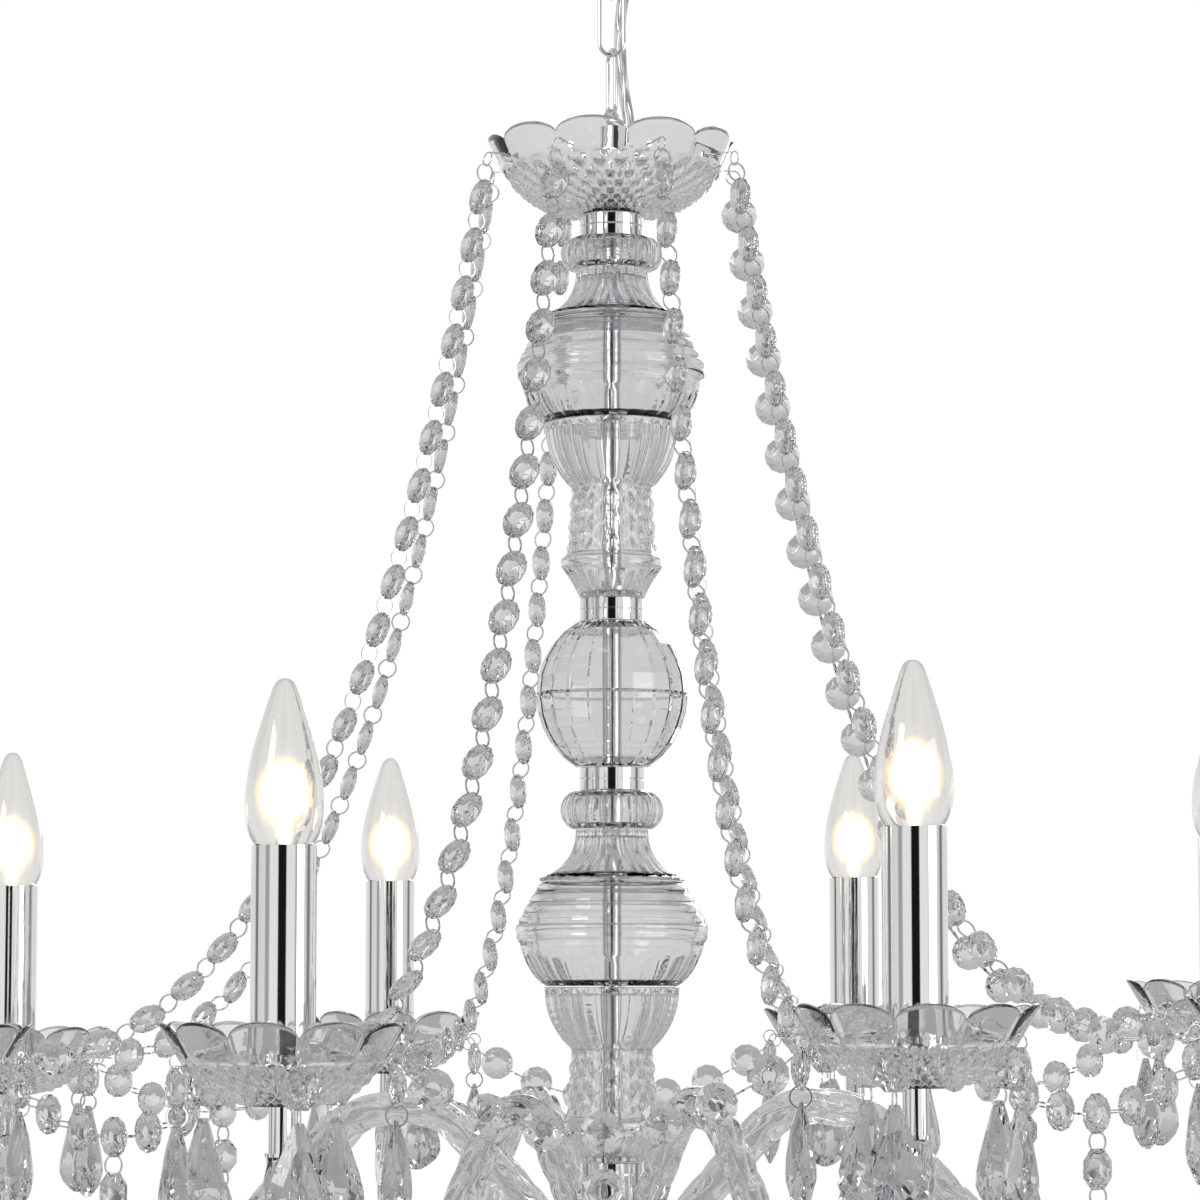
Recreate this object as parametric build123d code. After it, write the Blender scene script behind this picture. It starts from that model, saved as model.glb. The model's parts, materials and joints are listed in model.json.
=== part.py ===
from build123d import *

import os
from math import asinh, cos, cosh, hypot, log, pi, radians, sin, sinh, sqrt, tan

# An eight-arm crystal chandelier that hangs by two chain links from a ceiling hook. Millimetres, +Z up.
# The origin is the middle of the ceiling bracket's top face, which bolts flat to the ceiling, and the
# column hangs down the Z axis. Glass pieces are threaded on one hollow rod. Heights below the ceiling are
# negative; a piece that is stacked on another takes its height from the one above it.

# --- Ceiling fitting ---------------------------------------------------------------------------------
BRACKET_LENGTH = 100.0
BRACKET_WIDTH = 22.0
BRACKET_THICK = 2.5
BRACKET_EAR = 14.0  # how far the bent ends reach down
CEILING_HOLE_R = 2.75
CEILING_HOLE_SPACING = 70.0
HOOK_WIRE_R = 2.4
HOOK_BEND_R = 8.0  # centreline of the hook's bend
HOOK_NUT_R = 6.0
HOOK_NUT_HEIGHT = 5.0
CUP_RIM_GAP = 6.0  # from the bracket's end to the outside of the cup
CUP_RIM_R = BRACKET_LENGTH / 2 + CUP_RIM_GAP
CUP_MOUTH_R = 17.0
CUP_WALL = 1.2
CUP_HEIGHT = 66.0
CUP_GAP = 0.5  # the cup's rim stands this far below the ceiling
CUP_SCREW_R = 2.0
CUP_SCREW_DROP = 9.0
TERMINAL_X = 22.0
TERMINAL_SIZE = (18.0, 14.0, 12.0)

# --- Chain -------------------------------------------------------------------------------------------
LINK_LENGTH = 38.0
LINK_WIDTH = 15.0
LINK_WIRE_R = 1.15
LINK_PLAY = 0.3  # space between two wires that hang on each other
LOWER_LINK_TURN = 109.0  # direction of the lower link's plane, degrees from +X
LOOP_TURN = 55.0
LOOP_BEND_R = 5.5
LOOP_WIRE_R = 1.4
LOOP_BOSS_R = 7.0
LOOP_BOSS_HEIGHT = 14.0
UPPER_LINK_TOP = -77.9  # outside of the upper link's top bend

# --- Column ------------------------------------------------------------------------------------------
ROD_R = 5.0
ROD_BORE_R = 3.0
ROD_PLAY = 0.3  # radial space between the rod and the pieces threaded on it
GLASS_WALL = 3.6
DISH_FOOT = -201.0
DISH_RIM_R = 66.0
DISH_HEIGHT = 41.0
DISH_FOOT_R = 17.0
DISH_TURN = 9.0  # direction of the first petal
PETALS = 10
PETAL_ROUND = 0.36  # radius of one petal's lobe as a share of the rim's radius
COLLAR_R = 16.6
COLLAR_HEIGHT = 6.1
COLLAR_EDGE = 0.5
MELON_R = 27.3
MELON_END_R = 20.0
MELON_LOBES = 14
MELON_GROOVE_R = 2.6
UPPER_MELON_HEIGHT = 17.0
LOWER_MELON_HEIGHT = 20.0
BELL_TOP_R = 19.0
BELL_FOOT_R = 37.6
BELL_HEIGHT = 27.0
BOWL_SHOULDER_R = 37.2
BOWL_R = 49.8
BOWL_FOOT_R = 34.0
BOWL_HEIGHT = 54.0
STEM_TOP_R = 35.0
STEM_WAIST_R = 21.2
STEM_NECK_R = 23.5
STEM_RING_R = 26.5
STEM_FOOT_R = 16.8
UPPER_GOBLET_HEIGHT = 34.0
LOWER_GOBLET_HEIGHT = 32.0
NECK_HEIGHT = 35.0
FLARE_HEIGHT = 23.0
BALL_R = 39.4
BALL_HEIGHT = 76.0
NUT_R = 8.5
NUT_HEIGHT = 7.0
WASHER_R = 13.0
WASHER_HEIGHT = 1.5
BUSH_R = 3.9
BUSH_HEIGHT = 3.0
BUSH_PLACE = (9.4, 6.6)

# --- Hub ---------------------------------------------------------------------------------------------
BOSS_R = 17.0
BOSS_HEIGHT = 57.0
HUB_R = 50.0
HUB_THICK = 12.0
HUB_CAVITY_R = 27.0
HUB_CAVITY_DEPTH = 8.0
SOCKET_CIRCLE = 38.0
SOCKET_R = 10.8
SOCKET_HEIGHT = 18.0
SOCKET_DEPTH = 24.0
SOCKET_PLAY = 0.25
SET_SCREW_R = 1.6
SET_SCREW_DROP = 5.0
SET_SCREW_TURN = -74.0
BOTTOM_DISH_GAP = 2.0
FINIAL_R = 9.0
FINIAL_HEIGHT = 17.0
FINIAL_BORE_DEPTH = 11.0
FINIAL_RING_R = 5.0
FINIAL_WIRE_R = 0.9
DROP_BALL_R = 20.0
DROP_TAB = (3.0, 7.0, 9.0)
DROP_HOLE_R = 1.5

# --- Arms and lamps ----------------------------------------------------------------------------------
ARMS = 8
FIRST_ARM = 22.5  # direction of the first arm, degrees from +X
LAMP_CIRCLE = 362.0
PAN_FOOT = -654.0  # mean height of the drip pans' feet
LAMP_RISE = (17.0, 1.0, -1.0, -9.0, -6.0, -4.0, 4.0, 8.0)  # hand-drawn arms differ in height
ARM_R = 8.5
ARM_BORE_R = 3.4
ARM_FOOT_BEND = 30.0
ARM_CREST_BEND = 42.0
ARM_TROUGH_BEND = 78.0
ARM_SHOULDER = (38.0, -725.0)  # corners of the arm's centreline, out from the axis and down
ARM_RISE_END = (96.0, -664.0)
ARM_CREST_END = (142.0, -668.0)
ARM_SLOPE = -45.0
ARM_WIRE_R = 2.0
FERRULE_R = 5.9
FERRULE_HEIGHT = 22.0
FERRULE_FLANGE_R = 7.6
FERRULE_FLANGE = 1.6
SPIGOT_R = 3.2
SPIGOT_LENGTH = 12.0
NIPPLE_R = 4.7
NIPPLE_REACH = 11.0
PAN_RIM_R = 55.5
PAN_HEIGHT = 37.0
PAN_FOOT_R = 13.0
SLEEVE_R = 14.5
SLEEVE_WALL = 1.2
SLEEVE_TOP = 114.0  # above the pan's foot
HOLDER_R = 12.0
HOLDER_TOP = 108.0
HOLDER_BORE_DEPTH = 27.0
CAP_R = 7.0
CAP_PLAY = 0.2
CAP_HEIGHT = 25.0
BULB_R = 17.5
BULB_NECK_R = 7.6
BULB_HEIGHT = 76.0
BULB_WALL = 0.8
BULB_GAP = 0.3

# --- Strings, swags and pendants ---------------------------------------------------------------------
DISC_R = 9.6
DISC_THICK = 5.6
DISC_TABLE_R = 4.5
DISC_EDGE = 1.2
DISC_HOLE_IN = 8.2  # hole centres from the disc's centre
RING_R = 4.8  # centreline of the joining rings
RING_WIRE = 0.7
WIRE_HOLE_R = 1.05
STRING_DISCS = 21
STRING_FACING = (92.0, 31.0, 30.0, 20.0, 38.0, 53.0, 31.0, 30.0)  # direction each string's discs face
SWAG_DISCS = 7
PIN_R = 0.45
PIN_HOLE_R = 0.8
PIN_HEAD_R = 1.5
PIN_HEAD = 0.8
PIN_STAND = 1.6  # how far a pin's ring stands off the glass
PIN_RING_R = 3.6
WIRE_PLAY = 0.12
DISH_PIN_RISE = 29.0
DISH_PIN_END_R = 69.0
PAN_PIN_RISE = 20.0
PAN_PIN_TURNS = (0.0, 72.0, 144.0, 216.0, 288.0)
TIE_PIN_OFFSET = 16.0  # a string's pin stands beside the pendant's, in degrees
SWAG_PIN_OFFSET = 21.0  # a swag's pin stands this far from the pendant's, towards the column
BEAD_R = 10.2
BEAD_TABLE_R = 5.2
BEAD_THICK = 7.6
BEAD_HOLE_IN = 7.7
DROP_LENGTH = 49.0
DROP_WIDTH = 29.0
DROP_THICK = 13.0
DROP_HOLE_DOWN = 2.6
DROP_OUTLINE = ((0, 0.14), (0.3, 0.56), (0.7, 1), (1, 0.2))  # down and out, as shares
DROP_TABLE_DOWN = 0.62  # the facets' meeting place, as a share of the length
DROP_TABLE = 0.34  # the flat front's size, as a share of the outline

# --- Supply flex: points of its centreline, from the terminal block to the bush in the dish ------------
FLEX_R = 3.15
FLEX_ROUTE = (
    (22.0, 0.0, -14.5),
    (22.0, 0.0, -31.0),
    (16.5, 2.4, -50.0),
    (7.6, 4.9, -70.0),
    (5.3, 5.3, -88.0),
    (3.9, 5.0, -104.0),
    (5.2, 5.1, -122.0),
    (7.0, 5.4, -138.0),
    (9.4, 6.6, -150.0),
)


# --- Helpers -----------------------------------------------------------------------------------------
def turned(start, *steps):
    """A solid turned about Z. Each step is a point (r, z), or an arc's middle point and end point."""
    edges = []
    here = start
    for step in steps:
        if isinstance(step[0], tuple):
            middle, end = step
            edges.append(ThreePointArc((here[0], 0, here[1]), (middle[0], 0, middle[1]), (end[0], 0, end[1])))
        else:
            end = step
            edges.append(Line((here[0], 0, here[1]), (end[0], 0, end[1])))
        here = end
    edges.append(Line((here[0], 0, here[1]), (start[0], 0, start[1])))
    return revolve(Face(Wire(edges)), Axis.Z)


def pulled_in(step, wall):
    """A step of an outline, moved towards the axis by the wall."""
    if isinstance(step[0], tuple):
        return tuple((r - wall, z) for r, z in step)
    return (step[0] - wall, step[1])


def blown(top_r, height, *steps):
    """A hollow glass piece whose top is at z = 0, with closed ends and a hole for the rod."""
    outer = turned((0, 0), (top_r, 0), *steps, (0, -height))
    inner_steps = [pulled_in(step, GLASS_WALL) for step in steps]
    last = inner_steps[-1]
    last_r = last[1][0] if isinstance(last[0], tuple) else last[0]
    foot = (last_r, -height + GLASS_WALL)
    inner_steps[-1] = (last[0], foot) if isinstance(last[0], tuple) else foot
    inner = turned(
        (0, -GLASS_WALL), (top_r - GLASS_WALL, -GLASS_WALL), *inner_steps, (0, -height + GLASS_WALL)
    )
    return outer - inner - rod_hole(height)


def rod_hole(height):
    return Pos(0, 0, -height / 2) * Cylinder(ROD_R + ROD_PLAY, height + 2)


def tube(outer_r, inner_r, bottom, top):
    """A ring or tube about Z between two heights."""
    middle = Pos(0, 0, (bottom + top) / 2)
    return middle * (Cylinder(outer_r, top - bottom) - Cylinder(inner_r, top - bottom + 1))


def rod(radius, bottom, top):
    return Pos(0, 0, (bottom + top) / 2) * Cylinder(radius, top - bottom)


def out_at(angle, radius, z=0.0):
    """The point at a direction in degrees, a distance from the axis and a height."""
    return Vector(radius * cos(radians(angle)), radius * sin(radians(angle)), z)


def placed(origin, normal, along=None):
    """A location whose Z is the normal and whose X lies along a direction."""
    return Plane(origin=origin, x_dir=along, z_dir=normal).location


def wire_ring(bend_r, wire_r, angle_from=0.0, angle_to=360.0):
    """A round wire bent about Z, whole or from one angle to another."""
    start = placed(out_at(angle_from, bend_r), out_at(angle_from + 90, 1))
    return revolve(start * Circle(wire_r), Axis.Z, angle_to - angle_from)


def group(solids):
    """Separate solids of one node."""
    return Compound([solid for item in solids for solid in item.solids()])


def petal_bowl(rim_r, height, foot_r, waist, shoulder, hole_r):
    """A glass bowl with a scalloped rim, standing on z = 0: an arc to the shoulder, then a flare."""
    wall = GLASS_WALL
    outer = turned((0, 0), (foot_r, 0), (waist, shoulder), (rim_r, height), (0, height))
    inner_foot = (foot_r - wall / 3, wall)
    inner_waist = (waist[0] - wall * 0.6, waist[1] + wall * 0.9)
    inner_shoulder = (shoulder[0] - wall, shoulder[1] + wall * 0.4)
    inner_rim = (rim_r - wall, height + 0.01)
    inner = turned((0, wall), inner_foot, (inner_waist, inner_shoulder), inner_rim, (0, height + 0.01))
    lobe_r = rim_r * PETAL_ROUND
    lobe = Pos(rim_r - lobe_r, 0, height / 2) * Cylinder(lobe_r, height)
    petals = rod(rim_r - lobe_r, 0, height) + [Rot(0, 0, 360 / PETALS * k) * lobe for k in range(PETALS)]
    return (outer - inner) & (petals - rod(hole_r, -1, height + 1))


def cut_glass(outlines):
    """A solid with flat facets between outlines that have as many points each."""
    faces = [Face(Wire.make_polygon(outlines[0])), Face(Wire.make_polygon(outlines[-1]))]
    for one, two in zip(outlines, outlines[1:]):
        for k in range(len(one)):
            after = (k + 1) % len(one)
            faces.append(Face(Wire.make_polygon([one[k], one[after], two[after], two[k]])))
    return Solid(Shell(faces))


def wire_hole(x, turn=0.0):
    """A small hole on Z for a ring's wire, at a distance along X."""
    return Rot(0, 0, turn) * Pos(x, 0, 0) * Cylinder(WIRE_HOLE_R, DROP_THICK * 2)


def flared_r(rise, rim_r, height, shoulder):
    """The outside radius of a bowl's flare at a height above its foot."""
    return shoulder[0] + (rise - shoulder[1]) * (rim_r - shoulder[0]) / (height - shoulder[1])


# --- Heights down the column -------------------------------------------------------------------------
LINK_BEND_R = LINK_WIDTH / 2 - LINK_WIRE_R
LINK_STEP = LINK_LENGTH - 4 * LINK_WIRE_R - LINK_PLAY
UPPER_LINK_FOOT = UPPER_LINK_TOP - LINK_LENGTH
LOWER_LINK_TOP = UPPER_LINK_TOP - LINK_STEP
LOWER_LINK_FOOT = LOWER_LINK_TOP - LINK_LENGTH
HOOK_CENTRE = UPPER_LINK_TOP - 2 * LINK_WIRE_R - LINK_PLAY - HOOK_WIRE_R + HOOK_BEND_R
LOOP_CENTRE = LOWER_LINK_FOOT + 2 * LINK_WIRE_R + LINK_PLAY + LOOP_WIRE_R - LOOP_BEND_R
ROD_TOP = LOOP_CENTRE - LOOP_BEND_R - LOOP_BOSS_HEIGHT / 2
BUSH_FOOT = LOOP_CENTRE - LOOP_BEND_R - 8.0

DISH_SHOULDER = (58.0, 24.0)
DISH_WAIST = (43.0, 7.0)
PAN_SHOULDER = (44.5, 18.5)
PAN_WAIST = (33.0, 5.5)

TOP_COLLARS = DISH_FOOT
UPPER_MELON = TOP_COLLARS - 2 * COLLAR_HEIGHT
UPPER_BELL = UPPER_MELON - UPPER_MELON_HEIGHT
UPPER_BOWL = UPPER_BELL - BELL_HEIGHT
UPPER_STEM = UPPER_BOWL - BOWL_HEIGHT
BALL_COLLARS = UPPER_STEM - UPPER_GOBLET_HEIGHT - NECK_HEIGHT - FLARE_HEIGHT
BALL_TOP = BALL_COLLARS - 2 * COLLAR_HEIGHT
LOWER_COLLARS = BALL_TOP - BALL_HEIGHT
LOWER_MELON = LOWER_COLLARS - 2 * COLLAR_HEIGHT
LOWER_BELL = LOWER_MELON - LOWER_MELON_HEIGHT
LOWER_BOWL = LOWER_BELL - BELL_HEIGHT
LOWER_STEM = LOWER_BOWL - BOWL_HEIGHT
HUB_COLLARS = LOWER_STEM - LOWER_GOBLET_HEIGHT - NECK_HEIGHT - FLARE_HEIGHT
BOSS_TOP = HUB_COLLARS - 2 * COLLAR_HEIGHT
HUB_TOP = BOSS_TOP - BOSS_HEIGHT
HUB_FOOT = HUB_TOP - HUB_THICK
BOTTOM_DISH_FOOT = HUB_FOOT - BOTTOM_DISH_GAP - PAN_HEIGHT
FINIAL_FOOT = BOTTOM_DISH_FOOT - FINIAL_HEIGHT
ROD_FOOT = BOTTOM_DISH_FOOT - FINIAL_BORE_DEPTH
FINIAL_RING = FINIAL_FOOT - FINIAL_RING_R + FINIAL_WIRE_R / 2
DROP_PIVOT = FINIAL_RING - FINIAL_RING_R
SOCKET_FLOOR = HUB_TOP + SOCKET_HEIGHT - SOCKET_DEPTH


# --- Ceiling fitting and chain -----------------------------------------------------------------------
def ceiling_bracket():
    bar = Pos(0, 0, -BRACKET_THICK / 2) * Box(BRACKET_LENGTH, BRACKET_WIDTH, BRACKET_THICK)
    ear_x = BRACKET_LENGTH / 2 - BRACKET_THICK / 2
    ear = Box(BRACKET_THICK, BRACKET_WIDTH, BRACKET_EAR)
    ears = [Pos(side * ear_x, 0, -BRACKET_EAR / 2) * ear for side in (-1, 1)]
    holes = [Pos(side * CEILING_HOLE_SPACING / 2, 0, 0) * Cylinder(CEILING_HOLE_R, 20) for side in (-1, 1)]
    screw_bore = Pos(0, 0, -CUP_SCREW_DROP) * Rot(0, 90, 0) * Cylinder(CUP_SCREW_R + 0.05, 2 * BRACKET_LENGTH)
    hook_bore = Cylinder(HOOK_WIRE_R + 0.1, 20)
    return bar + ears - holes - screw_bore - hook_bore


def ceiling_hook():
    """A wire hook in the YZ plane, open on one side, with its shank up through the bracket and two nuts."""
    tip_angle = 110
    arc = Pos(0, 0, HOOK_CENTRE) * Rot(0, 90, 0) * wire_ring(HOOK_BEND_R, HOOK_WIRE_R, -90, tip_angle)
    tip = Vector(0, HOOK_BEND_R * sin(radians(tip_angle)), HOOK_CENTRE - HOOK_BEND_R * cos(radians(tip_angle)))
    turn = FilletPolyline(
        (0, -HOOK_BEND_R, HOOK_CENTRE),
        (0, -HOOK_BEND_R, HOOK_CENTRE + 7),
        (0, 0, HOOK_CENTRE + 17),
        (0, 0, -BRACKET_THICK + 1.5),
        radius=6,
    )
    shank = sweep(Plane(origin=turn @ 0, z_dir=turn % 0) * Circle(HOOK_WIRE_R), turn)
    nut = Pos(0, 0, -BRACKET_THICK - HOOK_NUT_HEIGHT / 2) * extrude(
        RegularPolygon(HOOK_NUT_R, 6), HOOK_NUT_HEIGHT / 2, both=True
    )
    return arc + shank + Pos(tip) * Sphere(HOOK_WIRE_R) + nut


def ceiling_cup():
    """A chrome cup under the ceiling, with a mouth for the hook and slots that drop off the side screws."""
    rim = -CUP_GAP
    foot = -CUP_GAP - CUP_HEIGHT
    wall = CUP_WALL
    outer = turned(
        (0, rim),
        (CUP_RIM_R, rim),
        (CUP_RIM_R - 2, rim - 26),
        ((CUP_RIM_R - 13, rim - 47), (CUP_MOUTH_R + wall + 2, foot + 4)),
        (CUP_MOUTH_R + wall, foot),
        (0, foot),
    )
    inner = turned(
        (0, rim + 1),
        (CUP_RIM_R - wall, rim + 1),
        (CUP_RIM_R - 2 - wall, rim - 26 + wall / 2),
        ((CUP_RIM_R - 13 - wall, rim - 47 + wall), (CUP_MOUTH_R + 2, foot + 4 + wall)),
        (CUP_MOUTH_R, foot + 2),
        (CUP_MOUTH_R, foot - 1),
        (0, foot - 1),
    )
    slot_height = CUP_SCREW_DROP + CUP_SCREW_R + 0.3
    slot = Box(8, 2 * CUP_SCREW_R + 0.6, slot_height)
    slots = [Pos(side * CUP_RIM_R, 0, -slot_height / 2) * slot for side in (-1, 1)]
    return outer - inner - slots


def cup_screws():
    """Two side screws that pass through the cup's slots into the bracket's ears."""
    shank = Pos(-4.5, 0, 0) * Rot(0, 90, 0) * Cylinder(CUP_SCREW_R, 9 + BRACKET_THICK)
    head = Pos(2.2, 0, 0) * Rot(0, 90, 0) * Cylinder(3.6, 2)
    screw = Pos(CUP_RIM_R, 0, -CUP_SCREW_DROP) * (shank + head)
    return group([screw, Rot(0, 0, 180) * screw])


def terminal_block():
    x, y, z = TERMINAL_SIZE
    block = Pos(TERMINAL_X, 0, -BRACKET_THICK - z / 2) * Box(x, y, z)
    return chamfer(block.edges().filter_by(Axis.Z), 1.0)


def chain_link(top, turn):
    """An oval link of round wire in the vertical plane at a direction, with its outside top at a height."""
    reach = LINK_LENGTH / 2 - LINK_WIDTH / 2
    leg = Pos(LINK_BEND_R, 0, 0) * Cylinder(LINK_WIRE_R, 2 * reach)
    bend = Rot(90, 0, 0) * wire_ring(LINK_BEND_R, LINK_WIRE_R, 0, 180)
    half = Pos(0, 0, reach) * bend
    link = half + Rot(180, 0, 0) * half + [leg, Rot(0, 0, 180) * leg]
    return Pos(0, 0, top - LINK_LENGTH / 2) * Rot(0, 0, turn) * link


def top_loop():
    """A ring on a threaded boss, screwed on the rod's top."""
    ring = Pos(0, 0, LOOP_CENTRE) * Rot(0, 0, LOOP_TURN) * Rot(90, 0, 0) * wire_ring(LOOP_BEND_R, LOOP_WIRE_R)
    boss_top = LOOP_CENTRE - LOOP_BEND_R
    boss = rod(LOOP_BOSS_R, boss_top - LOOP_BOSS_HEIGHT, boss_top)
    boss += Pos(*BUSH_PLACE, 0) * rod(BUSH_R + 0.6, boss_top - LOOP_BOSS_HEIGHT, BUSH_FOOT)
    return ring + (boss - rod(ROD_R + 0.05, boss_top - LOOP_BOSS_HEIGHT - 1, ROD_TOP))


# --- Column ------------------------------------------------------------------------------------------
def centre_rod():
    return tube(ROD_R, ROD_BORE_R, ROD_FOOT, ROD_TOP)


def rod_nut():
    foot = DISH_FOOT + GLASS_WALL
    washer = tube(WASHER_R, ROD_R + ROD_PLAY, foot, foot + WASHER_HEIGHT)
    nut = Pos(0, 0, foot + WASHER_HEIGHT) * extrude(RegularPolygon(NUT_R, 6), NUT_HEIGHT)
    return group([washer, nut - rod(ROD_R + 0.05, foot - 1, foot + 20)])


def flex_bush():
    """The bush on the loop's side lug, where the flex goes in."""
    return Pos(*BUSH_PLACE, 0) * rod(BUSH_R, BUSH_FOOT, BUSH_FOOT + BUSH_HEIGHT)


def top_dish():
    bowl = petal_bowl(DISH_RIM_R, DISH_HEIGHT, DISH_FOOT_R, DISH_WAIST, DISH_SHOULDER, ROD_R + ROD_PLAY)
    bowl = Pos(0, 0, DISH_FOOT) * Rot(0, 0, DISH_TURN) * bowl
    pin_hole = Rot(0, 90, 0) * Cylinder(PIN_HOLE_R, 24)
    holes = [
        Pos(out_at(arm_turn(k), DISH_RIM_R - 6, DISH_FOOT + DISH_PIN_RISE)) * Rot(0, 0, arm_turn(k)) * pin_hole
        for k in range(ARMS)
    ]
    return bowl - holes


def collars():
    """Chrome bands in pairs: under the dish, over and under the ball, and over the hub."""
    band = tube(COLLAR_R, ROD_R + ROD_PLAY, -COLLAR_HEIGHT, 0)
    band = chamfer(band.edges().filter_by(GeomType.CIRCLE).sort_by(SortBy.RADIUS)[-2:], COLLAR_EDGE)
    tops = (TOP_COLLARS, BALL_COLLARS, LOWER_COLLARS, HUB_COLLARS)
    return group([Pos(0, 0, top - k * COLLAR_HEIGHT) * band for top in tops for k in range(2)])


def melon_ring(top, height):
    """A squat lobed glass ring."""
    middle = -height / 2
    body = blown(MELON_END_R, height, ((MELON_R, middle), (MELON_END_R, -height)))
    groove = Pos(MELON_R + MELON_GROOVE_R * 0.45, 0, middle) * Cylinder(MELON_GROOVE_R, height)
    grooves = [Rot(0, 0, 360 / MELON_LOBES * k) * groove for k in range(MELON_LOBES)]
    return Pos(0, 0, top) * (body - grooves)


def bell(top):
    """A bell with a hollow-curved side, wide end down."""
    side = ((BELL_TOP_R + 5.4, -BELL_HEIGHT * 0.62), (BELL_FOOT_R, -BELL_HEIGHT))
    body = turned((0, 0), (BELL_TOP_R, 0), side, (0, -BELL_HEIGHT))
    hollow_r = BELL_TOP_R - GLASS_WALL
    hollow_foot = -BELL_HEIGHT + GLASS_WALL
    hollow = turned((0, -GLASS_WALL), (hollow_r, -GLASS_WALL), (hollow_r + 6, hollow_foot), (0, hollow_foot))
    return Pos(0, 0, top) * (body - hollow - rod_hole(BELL_HEIGHT))


def bowl(top):
    """A round bowl with stepped bands above and below its widest line."""
    body = blown(
        BOWL_SHOULDER_R,
        BOWL_HEIGHT,
        (BOWL_SHOULDER_R + 6.5, -BOWL_HEIGHT * 0.2),
        (BOWL_R, -BOWL_HEIGHT * 0.42),
        (BOWL_R, -BOWL_HEIGHT * 0.52),
        (BOWL_R - 4.2, -BOWL_HEIGHT * 0.72),
        ((BOWL_R - 8.2, -BOWL_HEIGHT * 0.87), (BOWL_FOOT_R, -BOWL_HEIGHT)),
    )
    return Pos(0, 0, top) * body


def stem(top, goblet_height):
    """A goblet, a slightly swollen neck and a flared foot in one pressed piece."""
    neck_foot = goblet_height + NECK_HEIGHT
    height = neck_foot + FLARE_HEIGHT
    body = blown(
        STEM_TOP_R,
        height,
        ((STEM_TOP_R - 2.6, -goblet_height * 0.5), (STEM_WAIST_R, -goblet_height)),
        (STEM_NECK_R, -neck_foot),
        (STEM_RING_R, -neck_foot - 2.5),
        (STEM_RING_R, -neck_foot - 6.5),
        ((STEM_FOOT_R + 3.4, -height + 7), (STEM_FOOT_R, -height)),
    )
    return Pos(0, 0, top) * body


def centre_ball():
    end_r = sqrt(BALL_R**2 - (BALL_HEIGHT / 2) ** 2) + 8
    side = ((BALL_R, -BALL_HEIGHT / 2), (end_r, -BALL_HEIGHT))
    return Pos(0, 0, BALL_TOP) * blown(end_r, BALL_HEIGHT, side)


# --- Hub ---------------------------------------------------------------------------------------------
def hub():
    """A boss on a round plate with eight cups for the arms and a wiring space underneath."""
    plate = rod(HUB_R, HUB_FOOT, HUB_TOP) + rod(BOSS_R, HUB_TOP, BOSS_TOP)
    cup = rod(SOCKET_R, HUB_TOP, HUB_TOP + SOCKET_HEIGHT)
    cups = [Pos(out_at(arm_turn(k), SOCKET_CIRCLE)) * cup for k in range(ARMS)]
    bore = rod(ARM_R + SOCKET_PLAY, SOCKET_FLOOR, HUB_TOP + SOCKET_HEIGHT + 1)
    bores = [Pos(out_at(arm_turn(k), SOCKET_CIRCLE)) * bore for k in range(ARMS)]
    cavity = rod(HUB_CAVITY_R, HUB_FOOT - 1, HUB_FOOT + HUB_CAVITY_DEPTH)
    screw_hole = set_screw_place() * Pos(0, 0, 2 - BOSS_R / 2) * Cylinder(SET_SCREW_R + 0.05, BOSS_R)
    return plate + cups - bores - cavity - rod(ROD_R + 0.05, HUB_FOOT - 1, BOSS_TOP + 1) - screw_hole


def set_screw_place():
    spot = out_at(SET_SCREW_TURN, BOSS_R, BOSS_TOP - SET_SCREW_DROP)
    return placed(spot, out_at(SET_SCREW_TURN, 1))


def hub_set_screw():
    length = BOSS_R - ROD_R - 0.6
    return set_screw_place() * Pos(0, 0, -length / 2 - 0.2) * Cylinder(SET_SCREW_R, length)


def hub_cover():
    """A disc that closes the wiring space."""
    return tube(HUB_CAVITY_R - SOCKET_PLAY, ROD_R + ROD_PLAY, HUB_FOOT, HUB_FOOT + 2)


def bottom_dish():
    return Pos(0, 0, BOTTOM_DISH_FOOT) * petal_bowl(
        PAN_RIM_R, PAN_HEIGHT, PAN_FOOT_R, PAN_WAIST, PAN_SHOULDER, ROD_R + ROD_PLAY
    )


def finial():
    """An acorn nut that closes the rod's foot, with a ring for the hanging ball."""
    body = turned(
        (0, BOTTOM_DISH_FOOT),
        (FINIAL_R, BOTTOM_DISH_FOOT),
        (FINIAL_R, BOTTOM_DISH_FOOT - 4),
        ((FINIAL_R * 0.8, FINIAL_FOOT + 6), (3, FINIAL_FOOT)),
        (0, FINIAL_FOOT),
    )
    ring = Pos(0, 0, FINIAL_RING) * Rot(90, 0, 0) * wire_ring(FINIAL_RING_R, FINIAL_WIRE_R)
    return (body - rod(ROD_R + 0.05, ROD_FOOT, BOTTOM_DISH_FOOT + 1)) + ring


def hanging_ball():
    """A glass ball with a flat holed tab on top, hung on the finial's ring."""
    x, y, z = DROP_TAB
    centre = DROP_PIVOT - z / 2 - DROP_BALL_R
    tab = Pos(0, 0, DROP_PIVOT + y / 2 - (z + y) / 2) * Box(x, y, z + y)
    hole = Pos(0, 0, DROP_PIVOT) * Rot(0, 90, 0) * Cylinder(DROP_HOLE_R, x + 2)
    return Pos(0, 0, centre) * Sphere(DROP_BALL_R) + tab - hole


# --- Arms and lamps ----------------------------------------------------------------------------------
def arm_turn(k):
    return FIRST_ARM + 360 / ARMS * k


def lamp_place(k):
    """The middle of a lamp's pan foot."""
    return Pos(out_at(arm_turn(k), LAMP_CIRCLE, PAN_FOOT + LAMP_RISE[k]))


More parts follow.
